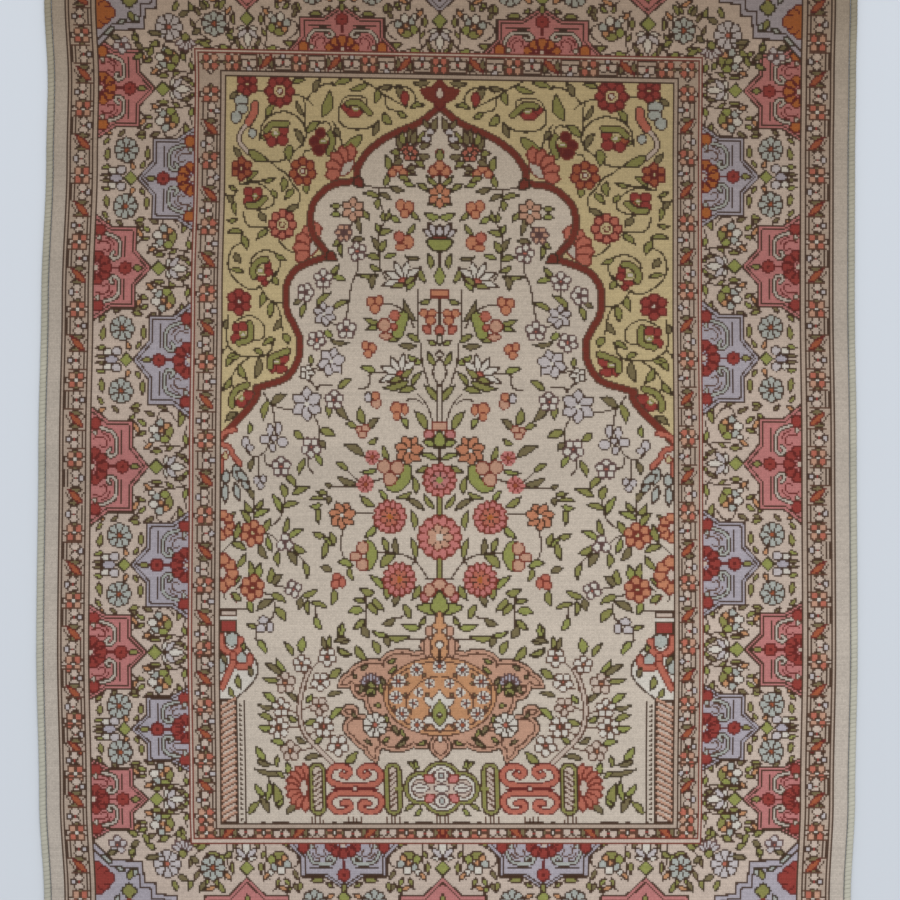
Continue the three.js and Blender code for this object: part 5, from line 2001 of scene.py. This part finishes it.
@dataclass
class KnottedPile:
    """The clipped silk pile, in panels that follow the bands of the design."""

    cloth: LaidCloth
    half_columns: int = round(HALF_BODY_WIDTH / KNOT)
    half_rows: int = round(HALF_PILE_LENGTH / KNOT)
    foot: float = 1.0  # level of the panels' undersides, on the foundation
    waviness: float = 0.10  # of the clipped surface
    waves: int = 7  # pairs of sines that make up the waves
    clearance: float = 0.12  # of the waves' middle under the pile's full height
    sunk_line: float = 0.16  # dark outlines wear lower than the rest
    dark: float = 0.30  # lightness at which a knot begins to sink
    end_fall: float = 1.2  # the last row leans over the flat-woven end
    side_fall: float = 0.35  # and the last column a little over the edge cord

    def panels(self) -> list[Panel]:
        """The niche in two halves, then each band round it in four strips."""
        ends = self.half_rows
        bands = (
            # name, outer column, outer bottom, outer top, inner column, inner bottom, inner top
            ("outer_guard", self.half_columns, -ends, ends, 220, -304, 304),
            ("main_border", 220, -304, 304, 158, -242, 242),
            ("inner_guard", 158, -242, 242, 139, -230, 225),
        )
        made = [Panel("niche_upper", -139, 139, 0, 225), Panel("niche_lower", -139, 139, -230, 0)]
        for name, outer, bottom, top, inner, inner_bottom, inner_top in bands:
            made.append(Panel(f"{name}_left", -outer, -inner, bottom, top))
            made.append(Panel(f"{name}_right", inner, outer, bottom, top))
            made.append(Panel(f"{name}_top", -inner, inner, inner_top, top))
            made.append(Panel(f"{name}_bottom", -inner, inner, bottom, inner_bottom))
        return made

    def build(self, dyes: np.ndarray, material: bpy.types.Material) -> list[bpy.types.Object]:
        """All panels.

        Args:
            dyes: The knots' colours, rows by columns by three, from the bottom left.
            material: The pile's finish.
        """
        level = self.level(dyes)
        pieces = []
        for panel in self.panels():
            rows = slice(panel.bottom + self.half_rows, panel.top + self.half_rows)
            cols = slice(panel.left + self.half_columns, panel.right + self.half_columns)
            col = np.arange(panel.left, panel.right + 1)
            row = np.arange(panel.bottom, panel.top + 1)
            chart = KNOT * (col[None, :] + 1j * row[:, None])
            laid = self.cloth.lay(chart)
            height = level[rows.start:rows.stop + 1, cols.start:cols.stop + 1]
            fine = np.stack([laid.real, laid.imag, height], axis=-1)
            knots = np.stack(np.broadcast_arrays(col[None, :], row[:, None]), axis=-1).astype(float)
            slab = Slab(fine, self.foot, knots, dyes[rows, cols].reshape(-1, 3))
            piece = slab.surface().make(panel.name, material)
            pieces.append(piece)
        return pieces

    def level(self, dyes: np.ndarray) -> np.ndarray:
        """The pile's height at the corners of the knots.

        It is the full height, less a share of how much darker than its surroundings a knot is, plus
        long shallow waves from seeded sines, and it falls off over the last row at both ends.
        """
        light = dyes.mean(axis=2)
        padded = np.pad(light, 1, mode="edge")
        corner = (padded[:-1, :-1] + padded[1:, :-1] + padded[:-1, 1:] + padded[1:, 1:]) / 4
        sunk = self.sunk_line * np.clip((self.dark - corner) / self.dark, 0, 1)
        rows, cols = corner.shape
        x = np.linspace(-1, 1, cols)[None, :]
        y = np.linspace(-1, 1, rows)[:, None]
        chance = np.random.default_rng(SEED)
        waves = np.zeros_like(corner)
        for _ in range(self.waves):
            across, along = chance.uniform(2, 9, 2)
            phase = chance.uniform(0, 2 * np.pi, 2)
            waves += np.sin(across * x + phase[0]) * np.sin(along * y + phase[1])
        height = PILE_TOP - self.clearance - sunk + self.waviness * waves / 4
        height[[0, -1], :] -= self.end_fall
        height[:, [0, -1]] -= self.side_fall
        return height


@dataclass
class Foundation:
    """The warp and weft under the pile. The design shows on its underside, knot by knot."""

    cloth: LaidCloth
    knots_per_step: int = 3
    top: float = 0.96
    kilim_rows: int = 3  # grid steps of the flat-woven strip past each end
    unevenness: float = 0.05  # of the rows on the underside
    row_rhythm: float = 1.7  # radians from one row to the next

    def build(self, dyes: np.ndarray, material: bpy.types.Material) -> bpy.types.Object:
        """The foundation as one thin sheet.

        Args:
            dyes: The knots' colours, rows by columns by three.
            material: Its finish.
        """
        step = self.knots_per_step
        rows, cols = (dyes.shape[0] // step) * step, (dyes.shape[1] // step) * step
        coarse = dyes[:rows, :cols].reshape(rows // step, step, cols // step, step, 3).mean(axis=(1, 3))
        plain = np.tile(Dye.CREAM.light, (self.kilim_rows, coarse.shape[1], 1))
        coarse = np.concatenate([plain, coarse, plain])
        u = np.linspace(-HALF_BODY_WIDTH, HALF_BODY_WIDTH, coarse.shape[1] + 1)
        pile = np.linspace(-HALF_PILE_LENGTH, HALF_PILE_LENGTH, rows // step + 1)
        strip = np.linspace(HALF_PILE_LENGTH, HALF_BODY_LENGTH, self.kilim_rows + 1)[1:]
        v = np.concatenate([-strip[::-1], pile, strip])
        laid = self.cloth.lay(u[None, :] + 1j * v[:, None])
        rows_up = self.unevenness * np.abs(np.sin(np.arange(len(v)) * self.row_rhythm))
        bumps = rows_up[:, None] * np.ones(len(u))
        fine = np.stack([laid.real, laid.imag, bumps], axis=-1)
        knots = np.stack(np.broadcast_arrays(u[None, :] / KNOT, v[:, None] / KNOT), axis=-1)
        slab = Slab(fine, self.top, knots, coarse.reshape(-1, 3), upward=False)
        piece = slab.surface().make("foundation", material)
        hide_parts("rug_body")
        return piece


@dataclass
class KilimEnd:
    """The flat-woven strip past the last knots at one end: weft ribs over the warp."""

    cloth: LaidCloth
    end: int  # 1 for the top and -1 for the bottom
    start: float = HALF_PILE_LENGTH + 0.1
    finish: float = HALF_BODY_LENGTH
    foot: float = 0.97
    rib_level: float = 1.42
    rib_height: float = 0.16
    ribs: int = 8
    steps_per_rib: int = 4
    columns: int = 150
    warp_pitch: float = 0.6

    def build(self, material: bpy.types.Material) -> bpy.types.Object:
        """The strip: its height follows |sin| along the rug, so that each weft is a low rib."""
        share = np.linspace(0, 1, self.ribs * self.steps_per_rib + 1)
        v = self.end * (self.start + (self.finish - self.start) * share)
        u = np.linspace(-HALF_BODY_WIDTH, HALF_BODY_WIDTH, self.columns + 1)
        if self.end < 0:
            v = v[::-1]
        laid = self.cloth.lay(u[None, :] + 1j * v[:, None])
        wave = np.abs(np.sin(math.pi * self.ribs * share))
        across = 0.8 + 0.2 * np.sin(2.1 * u)
        height = self.rib_level + self.rib_height * wave[:, None] * across[None, :]
        fine = np.stack([laid.real, laid.imag, height], axis=-1)
        warps = u[None, :] / self.warp_pitch
        pattern = np.stack(np.broadcast_arrays(warps, share[:, None] * self.ribs), axis=-1)
        dye = np.tile(Dye.CREAM.light, ((len(v) - 1) * self.columns, 1))
        surface = Slab(fine, self.foot, pattern, dye).surface()
        surface = replace(surface, pattern_name="turns", dye=None)
        piece = surface.make("kilim_top" if self.end > 0 else "kilim_bottom", material)
        return piece


def tube(path: np.ndarray, across: np.ndarray, up: np.ndarray,
         sides: int) -> tuple[np.ndarray, np.ndarray, list]:
    """Many closed tubes at once.

    A section's point at the angle a lies at path + side * across * cos(a) + lift * up * sin(a), where
    side is level and square to the path and lift is straight up.

    Args:
        path: Tubes by steps by three.
        across: Half width, tubes by steps.
        up: Half height, tubes by steps.
        sides: Points round a section.

    Returns:
        Points, quads and end caps.
    """
    count, steps = path.shape[:2]
    course = np.gradient(path, axis=1)
    level = np.stack([course[..., 1], -course[..., 0]], axis=-1)
    level /= np.linalg.norm(level, axis=-1, keepdims=True)
    angle = 2 * np.pi * (np.arange(sides) + 0.5) / sides
    shift = np.zeros((count, steps, sides, 3))
    shift[..., :2] = (across[..., None] * np.cos(angle))[..., None] * level[:, :, None, :]
    shift[..., 2] = up[..., None] * np.sin(angle)
    points = (path[:, :, None, :] + shift).reshape(-1, 3)
    index = np.arange(count * steps * sides).reshape(count, steps, sides)
    near, far = index[:, :-1], index[:, 1:]
    quads = np.stack([near, np.roll(near, -1, axis=2), np.roll(far, -1, axis=2), far], axis=-1)
    caps = [*index[:, 0, ::-1], *index[:, -1]]
    return points, quads.reshape(-1, 4), caps


@dataclass
class Selvedge:
    """The edge cord: warps bound together by a thread wound round them."""

    cloth: LaidCloth
    side: int  # -1 for the left and 1 for the right
    width: float = CORD_WIDTH
    thickness: float = 3.4
    turn_pitch: float = 3.2  # way along the cord for one visible turn of the winding
    steps_per_turn: int = 3
    sides: int = 12
    ridge: float = 0.16  # how far a turn stands out
    squareness: float = 0.75  # power of a section's sine and cosine, 1 for an ellipse
    slack_every: int = 12  # steps from one change of the winding's slack to the next

    def build(self, material: bpy.types.Material) -> bpy.types.Object:
        """The cord: a squarish tube along the edge whose surface swells at each slanting turn."""
        turns = round(2 * HALF_BODY_LENGTH / self.turn_pitch)
        steps = turns * self.steps_per_turn + 1
        y = np.linspace(-HALF_BODY_LENGTH, HALF_BODY_LENGTH, steps)
        column = 1 if self.side < 0 else 2
        middle = self.side * (FULL_WIDTH / 2 - self.cloth.draw_in(y, column) - self.width / 2)
        angle = 2 * np.pi * (np.arange(self.sides) + 0.5) / self.sides
        reach = math.cos(math.pi / self.sides) ** self.squareness
        cross = np.sign(np.cos(angle)) * np.abs(np.cos(angle)) ** self.squareness / reach
        rise = np.sign(np.sin(angle)) * np.abs(np.sin(angle)) ** self.squareness / reach
        along = np.linspace(0, turns, steps)[:, None] + angle[None, :] / (2 * np.pi)
        chance = np.random.default_rng(SEED + self.side)
        stations = np.arange(0, steps + self.slack_every, self.slack_every)
        slack = np.interp(np.arange(steps), stations, chance.uniform(0.4, 1.0, len(stations)))
        swell = 1 - self.ridge * slack[:, None] * (1 - np.abs(np.sin(math.pi * along)))
        points = np.empty((steps, self.sides, 3))
        points[..., 0] = middle[:, None] + cross * self.width / 2 * swell
        points[..., 1] = y[:, None]
        points[..., 2] = (1 + rise * swell) * self.thickness / 2
        index = np.arange(steps * self.sides).reshape(steps, self.sides)
        near, far = index[:-1], index[1:]
        quads = np.stack([near, far, np.roll(far, -1, axis=1), np.roll(near, -1, axis=1)], axis=-1)
        quads = quads.reshape(-1, 4)
        caps = (index[0], index[-1, ::-1])
        corners = np.concatenate([quads.ravel(), *caps])
        round_share = np.tile(np.arange(self.sides) / self.sides, steps)
        way = np.repeat(np.linspace(0, 1, steps), self.sides)
        round_corner, way_corner = round_share[corners], way[corners]
        body = np.arange(len(corners)) < quads.size
        quad_round = round_corner[:quads.size].reshape(-1, 4)
        quad_round[:, 2:][quad_round[:, 2:] < quad_round[:, :1]] += 1.0
        round_corner[:quads.size] = quad_round.ravel()
        bake = np.stack([0.02 + 0.94 * round_corner, 0.01 + 0.98 * way_corner], axis=1)
        bake[~body] = 0.001
        pattern = np.stack([round_corner, way_corner * turns], axis=1)
        surface = Surface(points.reshape(-1, 3), quads, caps, bake, pattern, "turns")
        name = "selvedge_left" if self.side < 0 else "selvedge_right"
        piece = surface.make(f"{name}_winding", material)
        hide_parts(name)
        return piece


@dataclass
class Fringe:
    """The warp ends at one end of the rug, tied off in small bundles."""

    KNOT_STATIONS = (0.0, 1.5, 3.2, 4.4, 5.6, 6.8)  # along a strand, from the strip past the knot
    cloth: LaidCloth
    end: int
    root: float = HALF_BODY_LENGTH + 0.3
    length: float = 32.0
    pitch: float = 6.0
    shortfall: float = 3.0  # of the shortest bundle
    length_rhythm: float = 2.3  # radians from one bundle to the next
    lean: float = 1.1
    lean_rhythm: float = 1.7
    strand_radius: float = 0.36
    tip_share: float = 0.45  # of the radius left at the tip
    flatness: float = 0.95
    spread_again: float = 0.72  # of a strand's place in its bundle, past the knot
    free_from: float = 6.0  # where the strands begin to sway
    sway: float = 0.35
    level: float = 0.62
    lift: float = 0.25
    strands: int = 5
    sides: int = 4
    steps: int = 10
    knot_at: float = 5.0
    knot_half: float = 1.7

    def build(self, material: bpy.types.Material) -> bpy.types.Object:
        """The fringe: every strand runs from the strip through its bundle's knot to a free end."""
        y_root = self.end * self.root
        left = -(FULL_WIDTH / 2 - float(self.cloth.draw_in(np.array([y_root]), 1)[0])) + CORD_WIDTH
        right = FULL_WIDTH / 2 - float(self.cloth.draw_in(np.array([y_root]), 2)[0]) - CORD_WIDTH
        count = int((right - left) // self.pitch)
        pitch = (right - left) / count
        bundle = np.arange(count)
        place = left + pitch * (bundle + 0.5) if self.end > 0 else right - pitch * (bundle + 0.5)
        path = self.strand_paths(place, pitch, y_root)
        across = np.full(path.shape[:2], self.strand_radius)
        across[:, -1] *= self.tip_share
        points, quads, caps = tube(path, across, across * self.flatness, self.sides)
        knot_points, knot_quads, knot_caps = self.knots(place, y_root)
        quads = np.concatenate([quads, knot_quads + len(points)])
        caps = caps + [cap + len(points) for cap in knot_caps]
        points = np.concatenate([points, knot_points])
        corners = np.concatenate([quads.ravel(), *caps])
        flat = points[corners]
        low, high = points.min(axis=0), points.max(axis=0)
        bake = 0.01 + 0.98 * (flat[:, :2] - low[:2]) / (high[:2] - low[:2])
        pattern = np.stack([flat[:, 0] / 0.7, flat[:, 1] / 1.6], axis=1)
        surface = Surface(points, quads, tuple(caps), bake, pattern, "turns")
        name = "fringe_top" if self.end > 0 else "fringe_bottom"
        piece = surface.make(f"{name}_bundles", material)
        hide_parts(name)
        return piece

    def strand_paths(self, place: np.ndarray, pitch: float, y_root: float) -> np.ndarray:
        """Every strand's course, strands by steps by three.

        The strands of a bundle are drawn together at the knot, spread again less than before, and sway
        more and more towards their free ends, where each bundle leans its own way.

        Args:
            place: Middle of each bundle across the rug.
            pitch: Way from one bundle to the next.
            y_root: Where the strands leave the strip.
        """
        bundle = np.arange(len(place))
        length = self.length - self.shortfall * np.sin(self.length_rhythm * bundle) ** 2
        lean = self.end * self.lean * np.sin(self.lean_rhythm * bundle + self.end)
        chance = np.random.default_rng(SEED + 7 * self.end)
        strand = np.arange(self.strands) - (self.strands - 1) / 2
        shape = (len(place), self.strands, self.steps)
        free = np.linspace(9.0, self.length, self.steps - len(self.KNOT_STATIONS))
        s = np.concatenate([self.KNOT_STATIONS, free])
        s = s[None, None, :] * (length / self.length)[:, None, None]
        reach = chance.uniform(0.93, 1.0, shape[:2])[..., None]
        y = np.where(s > 8, 8 + (s - 8) * reach, s) * np.ones(shape)
        gather = 1 - np.exp(-((s - self.knot_at) / 2.6) ** 2)
        spread = np.where(s < self.knot_at, 1.0, self.spread_again) * gather
        wave = chance.uniform(-1, 1, shape[:2])[..., None]
        phase = chance.uniform(0, 6.28, shape[:2])[..., None]
        x = place[:, None, None] + strand[None, :, None] * (pitch / self.strands) * spread
        past = s - self.free_from
        x = x + lean[:, None, None] * np.clip(past / 26, 0, 1) ** 1.3
        x = x + self.sway * wave * np.sin(s / 3.4 + phase) * np.clip(past / 10, 0, 1)
        z = self.level + self.lift * np.sin(s / 2.9 + 2 * phase) ** 2 * np.clip(past / 8, 0, 1)
        path = np.stack(np.broadcast_arrays(x, y_root + self.end * y, z), axis=-1)
        return path.reshape(-1, self.steps, 3)

    def knots(self, place: np.ndarray, y_root: float) -> tuple[np.ndarray, np.ndarray, list]:
        """A small fat knot round each bundle: its half width follows a half sine along the bundle."""
        share = np.linspace(0, 1, 7)
        swell = np.sqrt(np.clip(np.sin(np.pi * share), 0, 1))
        y = y_root + self.end * (self.knot_at + self.knot_half * (2 * share - 1))
        path = np.stack(np.broadcast_arrays(place[:, None], y[None, :], 0.82), axis=-1)
        across = np.tile(0.25 + 1.15 * swell, (len(place), 1))
        up = np.tile(0.2 + 0.55 * swell, (len(place), 1))
        return tube(path, across, up, 8)


@dataclass
class Stage:
    """Floor, soft light and camera."""

    picture_width: float = 661.5  # of the rug's plane across the picture
    aim: tuple[float, float] = (2.2, -1.8)
    distance: float = 2600.0
    sensor: float = 36.0
    floor_half: float = 9.0  # this and the lengths below in metres
    floor_level: float = -0.0002
    floor_colour: tuple[float, float, float, float] = (0.63, 0.67, 0.73, 1.0)
    sky_colour: tuple[float, float, float, float] = (0.95, 0.975, 1.0, 1.0)
    sky_strength: float = 0.58
    lamp_colour: tuple[float, float, float] = (1.0, 0.985, 0.96)
    lamp_size: float = 2.4
    lamp_power: float = 58.0  # in watts
    lamp_place: tuple[float, float, float] = (0.2, 0.9, 3.2)

    def build(self) -> None:
        """Everything round the object."""
        self.add_floor()
        self.add_lights()
        self.add_camera()

    def add_floor(self) -> None:
        """A plain pale floor just under the rug."""
        half, level = self.floor_half, self.floor_level
        mesh = bpy.data.meshes.new("floor")
        corners = [(-half, -half, level), (half, -half, level), (half, half, level), (-half, half, level)]
        mesh.from_pydata(corners, [], [(0, 1, 2, 3)])
        floor = bpy.data.objects.new("floor", mesh)
        bpy.context.scene.collection.objects.link(floor)
        material = bpy.data.materials.new("floor_paint")
        material.use_nodes = True
        shader = material.node_tree.nodes["Principled BSDF"]
        shader.inputs["Base Color"].default_value = self.floor_colour
        shader.inputs["Roughness"].default_value = 0.85
        mesh.materials.append(material)

    def add_lights(self) -> None:
        """An even sky with one large soft lamp above."""
        world = bpy.data.worlds.new("studio")
        bpy.context.scene.world = world
        world.use_nodes = True
        back = world.node_tree.nodes["Background"]
        back.inputs["Color"].default_value = self.sky_colour
        back.inputs["Strength"].default_value = self.sky_strength
        lamp = bpy.data.lights.new("window", "AREA")
        lamp.size = self.lamp_size
        lamp.energy = self.lamp_power
        lamp.color = self.lamp_colour
        holder = bpy.data.objects.new("window", lamp)
        holder.location = self.lamp_place
        holder.rotation_euler = (-holder.location).to_track_quat("-Z", "Y").to_euler()
        bpy.context.scene.collection.objects.link(holder)

    def add_camera(self) -> None:
        """A camera straight above, whose view is picture_width across at the pile's height.

        The focal length is sensor * distance / picture_width.
        """
        camera = bpy.data.cameras.new("camera")
        camera.sensor_width = self.sensor
        camera.lens = self.sensor * self.distance / self.picture_width
        camera.clip_start = 0.05
        camera.clip_end = 20.0
        holder = bpy.data.objects.new("camera", camera)
        holder.location = (self.aim[0] * MM, self.aim[1] * MM, (self.distance + PILE_TOP) * MM)
        bpy.context.scene.collection.objects.link(holder)
        bpy.context.scene.camera = holder
        bpy.context.scene.view_settings.view_transform = "Standard"


def main() -> None:
    """Draw the cartoon, weave the rug from it, dress it and light it."""
    logging.basicConfig(level=logging.INFO, format="%(name)s: %(message)s")
    cloth = LaidCloth()
    plan = FramePlan(HALF_BODY_WIDTH, HALF_PILE_LENGTH, KNOT / THREADS_PER_KNOT)
    plan.draw()
    dyes = plan.knots(THREADS_PER_KNOT)
    LOG.info("cartoon drawn: %d by %d knots", dyes.shape[1], dyes.shape[0])

    groups = FinishGroups()
    pile_finish = SilkFinish("clipped_silk", "silk_pile", 0.6, 0.1, 0.0003, 0.16).pile(groups)
    back_finish = SilkFinish("knot_backs", "silk_pile", 0.65, 0.1, 0.0003, 0.14).pile(groups)
    overcast = SilkFinish("overcast_silk", "silk_overcast", 0.55, 0.2, 0.0003, 0.1)
    cord_finish = overcast.thread(groups, Dye.CORD, 1.0)
    warp = SilkFinish("warp_silk", "silk_warp", 0.5, 0.3, 0.0002, 0.1)
    warp_finish = warp.thread(groups, Dye.WARP, 0.7)

    pile = KnottedPile(cloth).build(dyes, pile_finish)
    foundation = Foundation(cloth).build(dyes, back_finish)
    ends = [KilimEnd(cloth, end).build(warp_finish) for end in (1, -1)]
    cords = [Selvedge(cloth, side).build(cord_finish) for side in (-1, 1)]
    fringes = [Fringe(cloth, end).build(warp_finish) for end in (1, -1)]
    Stage().build()


if __name__ == "__main__":
    main()
